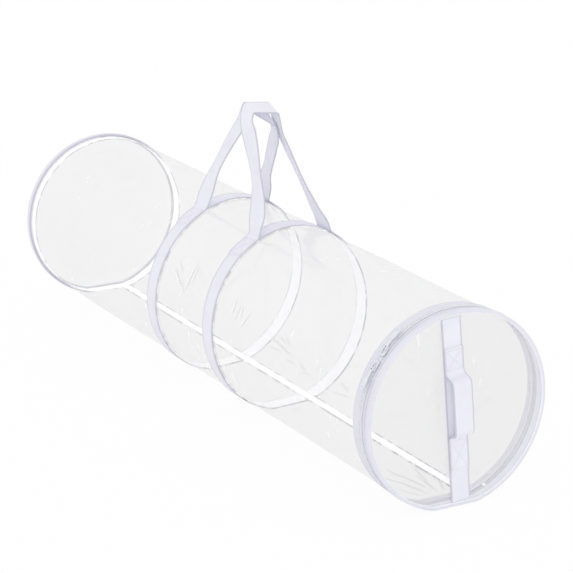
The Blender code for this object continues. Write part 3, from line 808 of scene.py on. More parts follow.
class WebbingRun:
    """Flat webbing along a run of rows, with soft edges and stitches on it."""

    width: ClassVar[float] = 0.025
    thickness: ClassVar[float] = 0.0015
    columns: ClassVar[int] = 10
    stitch_step: ClassVar[float] = 0.0015

    def __init__(self, rows: Sequence[WebbingRow]) -> None:
        """Keeps the places along the run and finds which way the webbing faces at each."""
        self.rows = list(rows)
        self.along = [0.0]
        for before, after in zip(self.rows, self.rows[1:]):
            self.along.append(self.along[-1] + (after.centre - before.centre).length)
        self.faces = [self.ahead(i).cross(row.width).normalized() for i, row in enumerate(self.rows)]

    def ahead(self, i: int) -> Vector:
        """Direction of the run at a row."""
        before = self.rows[max(i - 1, 0)].centre
        after = self.rows[min(i + 1, len(self.rows) - 1)].centre
        return (after - before).normalized()

    def outline(self) -> list[Point2]:
        """Closed outline of the webbing, as (across, height)."""
        half = self.width / 2
        edge = self.thickness * EDGE_SHARE
        corner = edge * CORNER_SHARE
        rise = self.thickness / 2
        span = self.width - 2 * edge
        top = [-half + edge + span * i / self.columns for i in range(self.columns + 1)]
        out = [(-half, rise - edge), (-half + corner, rise - corner)]
        out += [(a, rise) for a in top]
        out += [(half - corner, rise - corner), (half, rise - edge)]
        return out + [(-a, -h) for a, h in out]

    def make(
        self, name: str, material: bpy.types.Material, first: int = 0, last: Optional[int] = None
    ) -> bpy.types.Object:
        """Makes the webbing, or a stretch of it.

        Args:
            name: Name of the piece.
            material: Its material.
            first: First row of the stretch.
            last: Last row of the stretch, or None for the run's end.

        Returns:
            The new object.
        """
        stop = len(self.rows) if last is None else last + 1
        outline = self.outline()
        points = []
        for row, face in zip(self.rows[first:stop], self.faces[first:stop]):
            points.append([row.centre + row.width * a + face * h for a, h in outline])
        piece = lay_mesh(name, points, self.along[first:stop], [a for a, _ in outline], material)
        return turned_out(piece)

    def sew(self, seam: Seam, places: Sequence[Point2], side: int) -> None:
        """Sews along the run on one of its faces.

        Args:
            seam: The seam to add to.
            places: The line's points, as (length along the run, place across).
            side: Which face gets the stitches, -1 or 1.
        """
        points, normals = [], []
        for length, across in places:
            centre, width, face = self.at(length)
            points.append(centre + width * across + face * side * self.thickness / 2)
            normals.append(face * side)
        seam.run(points, normals)

    def at(self, length: float) -> tuple[Vector, Vector, Vector]:
        """Centre, width direction and face direction at a length along the run."""
        i = 0
        while i < len(self.along) - 2 and self.along[i + 1] < length:
            i += 1
        span = self.along[i + 1] - self.along[i]
        share = min(max((length - self.along[i]) / span, 0.0), 1.0)
        first, second = self.rows[i], self.rows[i + 1]
        return (
            first.centre.lerp(second.centre, share),
            first.width.lerp(second.width, share).normalized(),
            self.faces[i].lerp(self.faces[i + 1], share).normalized(),
        )

    def line(self, start: Point2, stop: Point2) -> list[Point2]:
        """Points of a straight line of stitches, as (length along the run, place across)."""
        length, across = stop[0] - start[0], stop[1] - start[1]
        steps = max(2, int(abs(length) / self.stitch_step), int(abs(across) / self.stitch_step))
        return [(start[0] + length * i / steps, start[1] + across * i / steps) for i in range(steps + 1)]

    def box_stitch(self, seam: Seam, start: float, stop: float, inset: float, side: int) -> None:
        """Sews a box with a cross in it.

        Args:
            seam: The seam to add to.
            start: Where the box starts along the run.
            stop: Where it stops.
            inset: Its distance from the webbing's edges.
            side: Which face gets the stitches, -1 or 1.
        """
        reach = self.width / 2 - inset
        low, high = (start, -reach), (start, reach)
        far_low, far_high = (stop, -reach), (stop, reach)
        for first, last in (
            (low, far_low), (high, far_high), (low, high),
            (far_low, far_high), (low, far_high), (high, far_low),
        ):
            self.sew(seam, self.line(first, last), side)


def place_piece(piece: bpy.types.Object, body: Body, slot: Slot, *nodes: str) -> None:
    """Puts a piece on its body and in place of its CAD nodes.

    Args:
        piece: The piece.
        body: The body that it rides on.
        slot: Not used.
        *nodes: The CAD nodes that it stands for.
    """
    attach(piece, body.value)
    if nodes:
        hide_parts(*nodes)
    log.info("%s: %d faces", piece.name, len(piece.data.polygons))


def bend_piece(
    piece: bpy.types.Object,
    body: Body,
    slot: Slot,
    start: Sequence[float],
    end: Sequence[float],
    *nodes: str,
) -> None:
    """Bakes a piece's placement into its mesh, in place of its CAD nodes.

    Args:
        piece: The piece.
        body: Not used.
        slot: Not used.
        start: Not used.
        end: Not used.
        *nodes: The CAD nodes that it stands for.
    """
    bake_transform(piece)
    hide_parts(*nodes)
    log.info("%s: %d faces", piece.name, len(piece.data.polygons))


# Sub-assemblies


@dataclass
class BandPlace:
    """Where a band lies on the tube: its middle and how far it lies askew."""

    middle_x: float
    yaw_shift: float
    pitch_shift: float

    def shift(self, point: Vector) -> float:
        """How far along X the band lies at a point of the section."""
        up = (point.z - SECTION.centre_z) / SECTION.radius
        return self.yaw_shift * point.y / SECTION.radius + self.pitch_shift * up

    @property
    def across(self) -> Vector:
        """Direction across the band at the top of the tube."""
        return Vector((SECTION.radius, -self.yaw_shift, 0.0)).normalized()


FAR_BAND = BandPlace(-0.0919, -0.017, 0.008)
NEAR_BAND = BandPlace(0.0651, -0.011, -0.004)


@dataclass(frozen=True)
class Crease:
    """A crease in the tube's film: its middle, which way it runs, and its size."""

    run_reach: ClassVar[float] = 1.3
    side_reach: ClassVar[float] = 5.0
    end_fall: ClassVar[float] = 2.5
    shine_off: ClassVar[float] = 2.1
    shine_share: ClassVar[float] = 0.8
    longest_share: ClassVar[float] = 1.5
    margin: ClassVar[float] = 0.01

    x: float
    angle_deg: float
    slope_deg: float
    half_length: float
    half_width: float = 0.0014
    depth: float = 0.0007
    strength: float = 1.0

    def touches(self, x: float) -> bool:
        """Whether the crease may reach a row of the wall."""
        return abs(x - self.x) < self.longest_share * self.half_length + self.margin

    def at(self, x: float, angle: float) -> tuple[float, float, float]:
        """Finds what the crease does at a place on the film.

        Args:
            x: The place along the tube.
            angle: The place round it, in radians.

        Returns:
            Depth, shade and shine.
        """
        slope = math.radians(self.slope_deg)
        ahead = x - self.x
        turned = math.remainder(angle - math.radians(self.angle_deg), 2 * math.pi) * SECTION.radius
        run = (ahead * math.cos(slope) + turned * math.sin(slope)) / self.half_length
        off = (turned * math.cos(slope) - ahead * math.sin(slope)) / self.half_width
        if abs(run) > self.run_reach or abs(off) > self.side_reach:
            return 0.0, 0.0, 0.0
        ends = math.exp(-self.end_fall * run**4)
        # Depth is the crease's real dip; the shade and shine are painted shade and a painted highlight for
        # the film's material.
        fold = math.exp(-(off**2))
        lit = math.exp(-((off - self.shine_off) ** 2))
        shine = self.shine_share * self.strength * lit * ends
        return self.depth * fold * ends, self.strength * fold * ends, shine


CREASES = (
    # Between the bands, a V with its foot low on the front
    Crease(-0.0130, -69.5, 148.0, 0.025),
    Crease(0.0104, -64.7, 85.0, 0.023),
    Crease(-0.0200, -61.5, 150.0, 0.014, strength=0.6),
    Crease(0.0180, -61.0, 98.0, 0.015, strength=0.7),
    Crease(-0.0010, -72.0, 120.0, 0.012, strength=0.6),
    # Beside the near band, low on the front
    Crease(0.1260, -67.0, 95.0, 0.010),
    Crease(0.1370, -69.0, 80.0, 0.012, strength=0.8),
    Crease(0.1460, -68.0, 102.0, 0.009, strength=0.8),
    Crease(0.1580, -71.0, 60.0, 0.014, strength=0.7),
    # Beside the far band, low at the back
    Crease(-0.0650, 144.0, 7.5, 0.040),
    Crease(-0.0700, 139.8, 9.0, 0.018, strength=0.8),
    Crease(-0.0650, 138.0, 23.0, 0.016, strength=0.7),
    Crease(-0.0720, 147.5, -6.0, 0.020, strength=0.7),
    Crease(0.0040, 149.0, 14.0, 0.014, strength=0.8),
    Crease(0.0180, 152.0, -8.0, 0.012, strength=0.8),
    Crease(-0.0250, 150.0, 4.0, 0.016, strength=0.6),
    # Under the near band at the back
    Crease(0.1000, 146.0, 12.0, 0.018, strength=0.7),
    Crease(0.1080, 152.0, -10.0, 0.022, strength=0.7),
    # On the bottom near the mouth
    Crease(0.3780, 178.0, 6.0, 0.030, 0.0018),
    Crease(0.3650, -176.0, -9.0, 0.034, 0.0018),
    Crease(0.3820, -171.0, -16.0, 0.026, 0.0016),
    Crease(0.3550, 174.0, 12.0, 0.028, 0.0016, strength=0.8),
    Crease(0.3900, 171.5, 22.0, 0.020, 0.0016, strength=0.8),
    Crease(0.3560, -167.0, -22.0, 0.024, 0.0016, strength=0.8),
    Crease(0.3950, -166.0, -34.0, 0.018, 0.0014, strength=0.7),
    Crease(0.3350, -173.0, 4.0, 0.020, 0.0014, strength=0.7),
)


@dataclass
class FilmTube:
    """The tube's clear film wall with its waves and creases, and the disc at its far end."""

    finishes: Finishes
    start_x: float = -0.4661
    stop_x: float = 0.4214
    inset: float = 0.0020
    steps_round: int = 300
    fine_step: float = 0.0018
    coarse_step: float = 0.0050
    creased_spans: tuple[Point2, ...] = ((-0.12, 0.18), (0.31, 0.42))
    seam_deg: float = 166.0
    wave: float = 0.0009
    waves_along: float = 11.0
    waves_round: float = 1.5
    ripple_scale: float = 3.1
    ripple_share: float = 0.35
    most_out: float = -0.0016
    disc_gap: float = 0.0002
    soft_crease_count: int = 40
    soft_crease_seed: int = 23
    calm_at_rim: Point2 = (0.012, 0.045)
    calm_at_mouth: Point2 = (0.002, 0.035)
    calm_at_band: Point2 = (0.014, 0.034)
    calm_at_seam_deg: Point2 = (5.0, 14.0)

    def x_places(self) -> list[float]:
        """Places of the wall's rows, closer together where it is creased."""
        xs = [self.start_x]
        while xs[-1] < self.stop_x:
            fine = any(low <= xs[-1] < high for low, high in self.creased_spans)
            xs.append(min(xs[-1] + (self.fine_step if fine else self.coarse_step), self.stop_x))
        return xs

    def soft_creases(self) -> list[Crease]:
        """Faint wide creases all over the wall."""
        draw = random.Random(self.soft_crease_seed)
        made = []
        for _ in range(self.soft_crease_count):
            near_band = draw.random() < 0.6
            made.append(Crease(
                x=draw.uniform(-0.06, 0.20) if near_band else draw.uniform(-0.42, 0.38),
                angle_deg=draw.uniform(-170, 150),
                slope_deg=draw.uniform(-63, 63),
                half_length=draw.uniform(0.012, 0.036),
                half_width=draw.uniform(0.0030, 0.0050),
                depth=draw.uniform(0.0004, 0.0011) * draw.choice((-1, 1)),
                strength=draw.uniform(0.05, 0.16),
            ))
        return made

    def calm(self, x: float, angle: float) -> float:
        """How free the film is to wave: 0 where it is sewn, 1 well away from it."""
        point = SECTION.point(angle, self.inset)
        free = smooth(x - self.start_x, *self.calm_at_rim) * smooth(self.stop_x - x, *self.calm_at_mouth)
        for band in (FAR_BAND, NEAR_BAND):
            free *= smooth(abs(x - band.middle_x - band.shift(point)), *self.calm_at_band)
        off_seam = abs(math.degrees(angle) - self.seam_deg)
        return free * smooth(min(off_seam, 360 - off_seam), *self.calm_at_seam_deg)

    def wall(self) -> bpy.types.Object:
        """Builds the tube's wall."""
        creases = list(CREASES) + self.soft_creases()
        angles = round_angles(self.steps_round)
        xs = self.x_places()
        rows, shades, shines = [], [], []
        for x in xs:
            near = [crease for crease in creases if crease.touches(x)]
            row = []
            for angle in angles:
                free = self.calm(x, angle)
                place = Vector((
                    x * self.waves_along,
                    math.sin(angle) * self.waves_round,
                    math.cos(angle) * self.waves_round,
                ))
                depth = self.wave * noise.noise(place)
                depth += self.ripple_share * self.wave * noise.noise(place * self.ripple_scale)
                shade = shine = 0.0
                for crease in near:
                    sink, dark, lit = crease.at(x, angle)
                    depth += sink
                    shade = max(shade, dark)
                    shine = max(shine, lit)
                point = SECTION.point(angle, self.inset + max(depth, self.most_out) * free)
                point.x = x
                row.append(point)
                shades.append(shade)
                shines.append(shine)
            rows.append(row)
        across = [angle * SECTION.radius for angle in angles]
        wall = lay_mesh("tube_film_wall", rows, xs, across, self.finishes.film, ends=(False, False))
        # The creases' painted shade and painted highlight go to the film's material.
        for name, values in (("fold_shade", shades), ("fold_shine", shines)):
            wall.data.attributes.new(name, "FLOAT", "POINT").data.foreach_set("value", values)
        return wall

    def build(self) -> None:
        wall = self.wall()
        place_piece(wall, Body.TUBE, Slot.FILM, "tube_film")
        disc = FilmDisc("far_film_disc", self.start_x + self.disc_gap, bulge_side=1.0, seed=5)
        disc.build(self.finishes.disc_film, Body.TUBE, "far_end_film", "far_rim_binding_tape")


@dataclass(frozen=True)
class FilmDisc:
    """A disc of film that is sewn round its rim and waves a little inside it.

    It bulges towards bulge_side, 1 or -1 along X, and its seed makes its waves its own.
    """

    name: str
    x: float
    bulge_side: float
    seed: int
    rings: int = 46
    steps: int = 150
    inset: float = 0.0030
    waves: float = 22.0
    ripple_scale: float = 2.7
    pulls: float = 4.0
    wave_depth: float = 0.0022
    pull_depth: float = 0.0010
    sewn_share: float = 0.22
    pulled_shares: Point2 = (0.5, 0.8)
    seed_step: float = 1.7
    flat_share: float = 0.985

    def depth(self, point: Vector, angle: float, share: float) -> float:
        """Finds how far the film bulges.

        Args:
            point: A point of the flat disc.
            angle: Its angle.
            share: Its distance from the middle, as a share of the way to the rim.

        Returns:
            The bulge.
        """
        place = Vector((point.y * self.waves + self.seed, point.z * self.waves, self.seed * self.seed_step))
        wave = 0.5 + 0.5 * noise.noise(place) + 0.25 * noise.noise(place * self.ripple_scale)
        pull = noise.noise(Vector((math.sin(angle) * self.pulls, math.cos(angle) * self.pulls, self.seed)))
        free = smooth(1 - share, 0.0, self.sewn_share)
        bulge = self.wave_depth * wave * free
        bulge += self.pull_depth * pull * smooth(share, *self.pulled_shares) * free
        return max(bulge, 0.0)

    def build(self, material: bpy.types.Material, body: Body, node: str, holder: str) -> None:
        """Args:
            material: The film's material.
            body: The body that it rides on.
            node: The CAD node that it stands for.
            holder: Not used.
        """
        angles = round_angles(self.steps)
        centre = Vector((0.0, 0.0, SECTION.centre_z))
        shares = [i / self.rings for i in range(1, self.rings + 1)]
        rows = []
        for share in shares:
            row = []
            for angle in angles:
                point = centre.lerp(SECTION.point(angle, self.inset), share)
                point.x = self.x + self.bulge_side * self.depth(point, angle, share)
                row.append(point)
            rows.append(row)
        along = [share * SECTION.radius for share in shares]
        across = [angle * SECTION.radius for angle in angles]
        disc = lay_mesh(self.name, rows, along, across, material, sharp_deg=80.0, ends=(True, False))
        place_piece(disc, body, Slot.FILM, node)


@dataclass
class Binding:
    """Folded tape round an end: one leg along the tube and one over the end face."""

    face_x: float
    inward: int
    width: float
    lap: float
    body: Body
    node: str
    inner_leg: Optional[Point2] = None
    inner_inset: float = 0.0033
    inner_thickness: float = 0.0006
    inner_sway: float = 0.0007
    thickness: float = 0.0015
    round_off: float = 0.0006
    stitch_inset: float = 0.0016

    def profile(self) -> Profile:
        """Closed profile of the folded tape."""
        t, r = self.thickness, self.round_off
        c = r * CORNER_SHARE
        outline = [
            (self.width, r), (self.width - c, c), (self.width - r, 0.0),
            (self.width * 0.66, 0.0), (self.width * 0.33, 0.0),
            (r, 0.0), (c, c), (0.0, r),
            (0.0, self.lap * 0.5), (0.0, self.lap - r), (c, self.lap - c), (r, self.lap),
            (t, self.lap), (t, self.lap * 0.5), (t, t), (self.width * 0.5, t), (self.width, t),
        ]
        made = []
        for reach, inset in outline:
            place = reach if inset <= t and reach > t else -inset
            made.append((self.face_x + self.inward * reach, inset, place))
        return made

    def uneven(self, point: Vector) -> float:
        """How unevenly the inner leg lies along the tube at a point of the section."""
        return self.inner_sway * noise.noise(point * PUCKERS_ALONG)

    def build(self, finishes: Finishes) -> None:
        """Builds the binding and its row of stitches.

        Args:
            finishes: The materials.
        """
        angles = round_angles(RING_STEPS)
        piece = ring_piece(
            self.node + "_tape", self.profile(), angles, finishes.binding,
            pucker=0.00018, lining=finishes.cap_lining,
        )
        place_piece(piece, self.body, Slot.TRIM, self.node)
        if self.inner_leg:
            profile = strip_profile(*self.inner_leg, self.inner_inset, self.inner_thickness)
            leg = ring_piece(
                self.node + "_inner_leg", profile, angles, finishes.binding_lining,
                shift=self.uneven, pucker=0.0006,
            )
            place_piece(leg, self.body, Slot.TRIM)
        seam = Seam(pitch=0.0032)
        ring_seam(seam, self.face_x + self.inward * (self.width - self.stitch_inset), angles, 0.0)
        place_piece(seam.make(self.node + "_stitches", finishes.thread), self.body, Slot.TRIM)


@dataclass(frozen=True)
class ZipTape:
    """One side's zip tape, with its rows of stitches as distances from its lower edge."""

    side: str
    body: Body
    run: Point2
    inset: float
    stitch_rows: tuple[float, ...]


ZIP_TAPES = (
    ZipTape("tube", Body.TUBE, (0.4134, 0.4241), 0.0009, (0.001712, 0.006634)),
    ZipTape("cap", Body.CAP, (0.4310, 0.4436), 0.0018, (0.0042,)),
)


@dataclass
class TrimRings:
    """Flat tapes that go round the mouth and the cap, and the seam tape along the tube."""

    finishes: Finishes
    tape_thickness: float = 0.0006
    seam_deg: float = 166.0
    seam_width: float = 0.0126
    seam_inset: float = 0.0025
    seam_run: Point2 = (-0.4654, 0.4214)
    seam_steps: int = 220
    seam_columns: int = 8
    sway_deg: float = 0.28
    sway_scale: float = 14.0
    stitch_share: float = 0.72
    stitch_ends: float = 0.002

    def build(self) -> None:
        """Builds the two zip tapes and the seam tape."""
        angles = round_angles(RING_STEPS)
        lining = self.finishes.cap_lining
        for zip_tape in ZIP_TAPES:
            name = "zip_tape_" + zip_tape.side
            profile = strip_profile(*zip_tape.run, zip_tape.inset, self.tape_thickness)
            tape = ring_piece(name + "_weave", profile, angles, self.finishes.tape, lining=lining)
            place_piece(tape, zip_tape.body, Slot.TRIM, name)
            seam = Seam(pitch=0.0030)
            for place in zip_tape.stitch_rows:
                ring_seam(seam, zip_tape.run[0] + place, angles, zip_tape.inset)
            place_piece(seam.make(name + "_stitches", self.finishes.thread), zip_tape.body, Slot.TRIM)
        self.seam_tape()

    def seam_tape(self) -> None:
        """Builds the woven tape along the tube, inside the film."""
        half_deg = math.degrees(self.seam_width / 2 / SECTION.radius)
        low, high = self.seam_run
        under = self.seam_inset + self.tape_thickness
        angles = angle_run(self.seam_deg - half_deg, self.seam_deg + half_deg, self.seam_columns)
        rows, along = [], []
        for i in range(self.seam_steps + 1):
            x = low + (high - low) * i / self.seam_steps
            sway = math.radians(self.sway_deg * noise.noise(Vector((x * self.sway_scale, 3.0, 0.0))))
            outer, inner = [], []
            for angle in angles:
                for inset, side in ((self.seam_inset, outer), (under, inner)):
                    point = SECTION.point(angle + sway, inset)
                    point.x = x
                    side.append(point)
            rows.append(outer + inner[::-1])
            along.append(x)
        across = [(angle - math.radians(self.seam_deg)) * SECTION.radius for angle in angles]
        tape = lay_mesh("seam_tape_weave", rows, along, across + across[::-1], self.finishes.seam)
        place_piece(turned_out(tape), Body.TUBE, Slot.TRIM, "seam_tape")
        seam = Seam(pitch=0.0036)
        for side in (-1, 1):
            angle = math.radians(self.seam_deg + side * half_deg * self.stitch_share)
            point = SECTION.point(angle, under)
            inward = -Vector((0.0, math.sin(angle), math.cos(angle)))
            places = (low + self.stitch_ends, high - self.stitch_ends)
            seam.run([Vector((x, point.y, point.z)) for x in places], [inward, inward])
        place_piece(seam.make("seam_tape_stitches", self.finishes.thread), Body.TUBE, Slot.TRIM)


@dataclass
class HingePanel:
    """Sewn fabric panel under the zip's two ends, on which the cap opens."""

    finishes: Finishes
    run: Point2 = (0.4134, 0.4373)
    turn: Point2 = (0.4262, 0.4289)
    middle_deg: float = 166.0
    width: float = 0.044
    thickness: float = 0.0006
    columns: int = 22

    def build(self) -> None:
        """Builds the panel as one cloth over the tube's and the cap's parts."""
        half_deg = math.degrees(self.width / 2 / SECTION.radius)
        angles = angle_run(self.middle_deg - half_deg, self.middle_deg + half_deg, self.columns)
        profile = strip_profile(*self.run, 0.0, self.thickness, self.columns)
        panel = ring_piece("hinge_panel_cloth", profile, angles, self.finishes.tape, full=False)
        ends = [(x, 0, 0) for x in self.turn]
        bend_piece(panel, Body.CAP, Slot.TRIM, *ends, "hinge_panel_tube", "hinge_panel_cap")


@dataclass
class EndCap:
    """The cap's film disc and the strap with its raised grip."""

    finishes: Finishes
    film_x: float = 0.4441
    face_x: float = 0.4446
    outer_x: float = 0.4461
    lean_deg: float = 5.0
    offset_y: float = -0.0033
    strap_z: Point2 = (0.0062, 0.2206)
    thickness: float = 0.0015
    gap: float = 0.0003
    standoff: float = 0.0145
    slant: float = 0.0035
    bend: float = 0.0060
    grip_z: tuple[float, float, float, float] = (0.043, 0.085, 0.156, 0.187)
    grip_step: float = 0.0016
    box_inset: float = 0.0022
    box_clear: float = 0.0060
    strap_steps: int = 90
    strap_rows: Point2 = (-0.0108, 0.0108)
    strap_ends: float = 0.0030

    def leaning(self, points: Sequence[Point2]) -> list[WebbingRow]:
        """Rows of webbing from (x, z) places, leaned about the cap's middle."""
        lean = Matrix.Rotation(math.radians(self.lean_deg), 3, "X")
        middle = Vector((0.0, self.offset_y, SECTION.centre_z))
        made = []
        for x, z in points:
            centre = lean @ Vector((x, 0.0, z - SECTION.centre_z)) + middle
            made.append(WebbingRow(centre, lean @ Vector((0.0, 1.0, 0.0))))
        return made

    def grip_line(self) -> list[Point2]:
        """Centre line of the grip as (x, z): flat, bowed out, and flat again."""
        bottom, loop_bottom, loop_top, top = self.grip_z
        flat = self.outer_x + self.gap + self.thickness / 2
        bowed = flat + self.standoff
        corners = [
            (flat, bottom), (flat, loop_bottom), (bowed, loop_bottom + self.slant),
            (bowed, loop_top - self.slant), (flat, loop_top), (flat, top),
        ]
        route = rounded_route([Vector((x, 0.0, z)) for x, z in corners], self.bend)
        return [(point.x, point.z) for point in evenly(route, self.grip_step)]

    def build(self) -> None:
        """Builds the disc, the strap, the grip and their stitches."""
        disc = FilmDisc("cap_film_disc", self.film_x, bulge_side=-1.0, seed=9)
        disc.build(self.finishes.disc_film, Body.CAP, "cap_film", "cap_rim_binding_tape")
        strap_x = self.face_x + self.thickness / 2
        low, high = self.strap_z
        line = [
            (strap_x, low + (high - low) * i / self.strap_steps) for i in range(self.strap_steps + 1)
        ]
        strap = WebbingRun(self.leaning(line))
        grip = WebbingRun(self.leaning(self.grip_line()))
        for run, name in ((strap, "end_strap"), (grip, "end_grip")):
            piece = run.make(name + "_webbing", self.finishes.webbing)
            place_piece(piece, Body.CAP, Slot.WEBBING, name)
        seam = Seam(pitch=0.0030, width=0.0004)
        length = grip.along[-1]
        bottom, loop_bottom, loop_top, top = self.grip_z
        outside = 1 if grip.faces[0].x > 0 else -1
        for start, stop in (
            (self.box_inset, loop_bottom - bottom - self.box_clear),
            (length - (top - loop_top) + self.box_clear, length - self.box_inset),
        ):
            grip.box_stitch(seam, start, stop, self.box_inset, outside)
        outside = 1 if strap.faces[0].x > 0 else -1
        for across in self.strap_rows:
            ends = (self.strap_ends, across), (strap.along[-1] - self.strap_ends, across)
            strap.sew(seam, strap.line(*ends), outside)
        place_piece(seam.make("end_strap_stitches", self.finishes.thread), Body.CAP, Slot.TRIM)


def rounded_route(corners: Sequence[Vector], bend: float, steps: int = 8) -> list[Vector]:
    """Straight runs between corners, with every inner corner rounded off.

    Args:
        corners: The corners.
        bend: Length over which a corner is rounded.
        steps: Points in each rounding.

    Returns:
        The route's points.
    """
    route = [corners[0]]
    for before, corner, after in zip(corners, corners[1:], corners[2:]):
        start = corner + (before - corner).normalized() * bend
        stop = corner + (after - corner).normalized() * bend
        for i in range(steps + 1):
            t = i / steps
            route.append(start.lerp(corner, t).lerp(corner.lerp(stop, t), t))
    route.append(corners[-1])
    return route


def evenly(points: Sequence[Vector], step: float) -> list[Vector]:
    """Spaces points evenly along a line.

    Args:
        points: The line.
        step: About how far apart the new points lie.

    Returns:
        The new points.
    """
    lengths = [0.0]
    for before, after in zip(points, points[1:]):
        lengths.append(lengths[-1] + (after - before).length)
    count = max(2, round(lengths[-1] / step))
    made = []
    j = 0
    for i in range(count + 1):
        due = lengths[-1] * i / count
        while j < len(points) - 2 and lengths[j + 1] < due:
            j += 1
        span = lengths[j + 1] - lengths[j]
        made.append(points[j].lerp(points[j + 1], (due - lengths[j]) / span if span else 0.0))
    return made


@dataclass
class Foot:
    """Where one end of a carry handle stands on its band."""

    lift: ClassVar[float] = 0.0060
    tail_steps: ClassVar[int] = 20
    lap_clear: ClassVar[float] = 0.004
    box_run: ClassVar[Point2] = (0.0024, 0.0290)
    box_inset: ClassVar[float] = 0.0024
    risers: ClassVar[Point2] = (0.0012, 0.0030)

    band: BandPlace
    angle_deg: float
    tail: float = 0.036
    lap: float = 0.0018
    sunk: float = 0.0008
    thickness: float = 0.0015

    @property
    def inwards(self) -> int:
        """Which way along Y the tube's middle lies."""
        return 1 if self.angle_deg < 0 else -1

    def on_band(self, y: float, lift: float) -> Vector:
        """Middle of the band at a y near the top."""
        point = Vector((0.0, y, SECTION.top(y, lift)))
        point.x = self.band.middle_x + self.band.shift(point)
        return point

    @property
    def pivot(self) -> Vector:
        """Point that the handle turns about, in the middle of its foot."""
        y = SECTION.radius * math.sin(math.radians(self.angle_deg))
        return self.on_band(y, 0.0) + Vector((0.0, 0.0, self.lift))

    def tail_line(self) -> list[Vector]:
        """Centre line of the sewn end on the band, from its tail to the foot."""
        lift = self.thickness / 2 - self.sunk
        root_y = self.pivot.y - self.inwards * self.lap
        root_deg = math.degrees(math.asin(root_y / (SECTION.radius + lift)))
        tail_deg = self.angle_deg - self.inwards * math.degrees(self.tail / SECTION.radius)
        angles = angle_run(tail_deg, root_deg, self.tail_steps)
        return [self.on_band((SECTION.radius + lift) * math.sin(angle), lift) for angle in angles]


@dataclass
class HandleLeg:
    """How one leg of a carry handle runs from its foot to the crown.

    The bows are the most that the leg strays from a straight line, and bow_at is where, as a share of
    the leg. The leg stands in its band's plane below plane_shares[0] and is free of it above
    plane_shares[1], and it is turned by twists_deg: at the foot, at mid height and near the crown.
    """

    foot_deg: float
    top: tuple[float, float, float]
    bow_x: float
    bow_y: float
    bow_at: float
    plane_shares: Point2
    twists_deg: tuple[float, float, float]


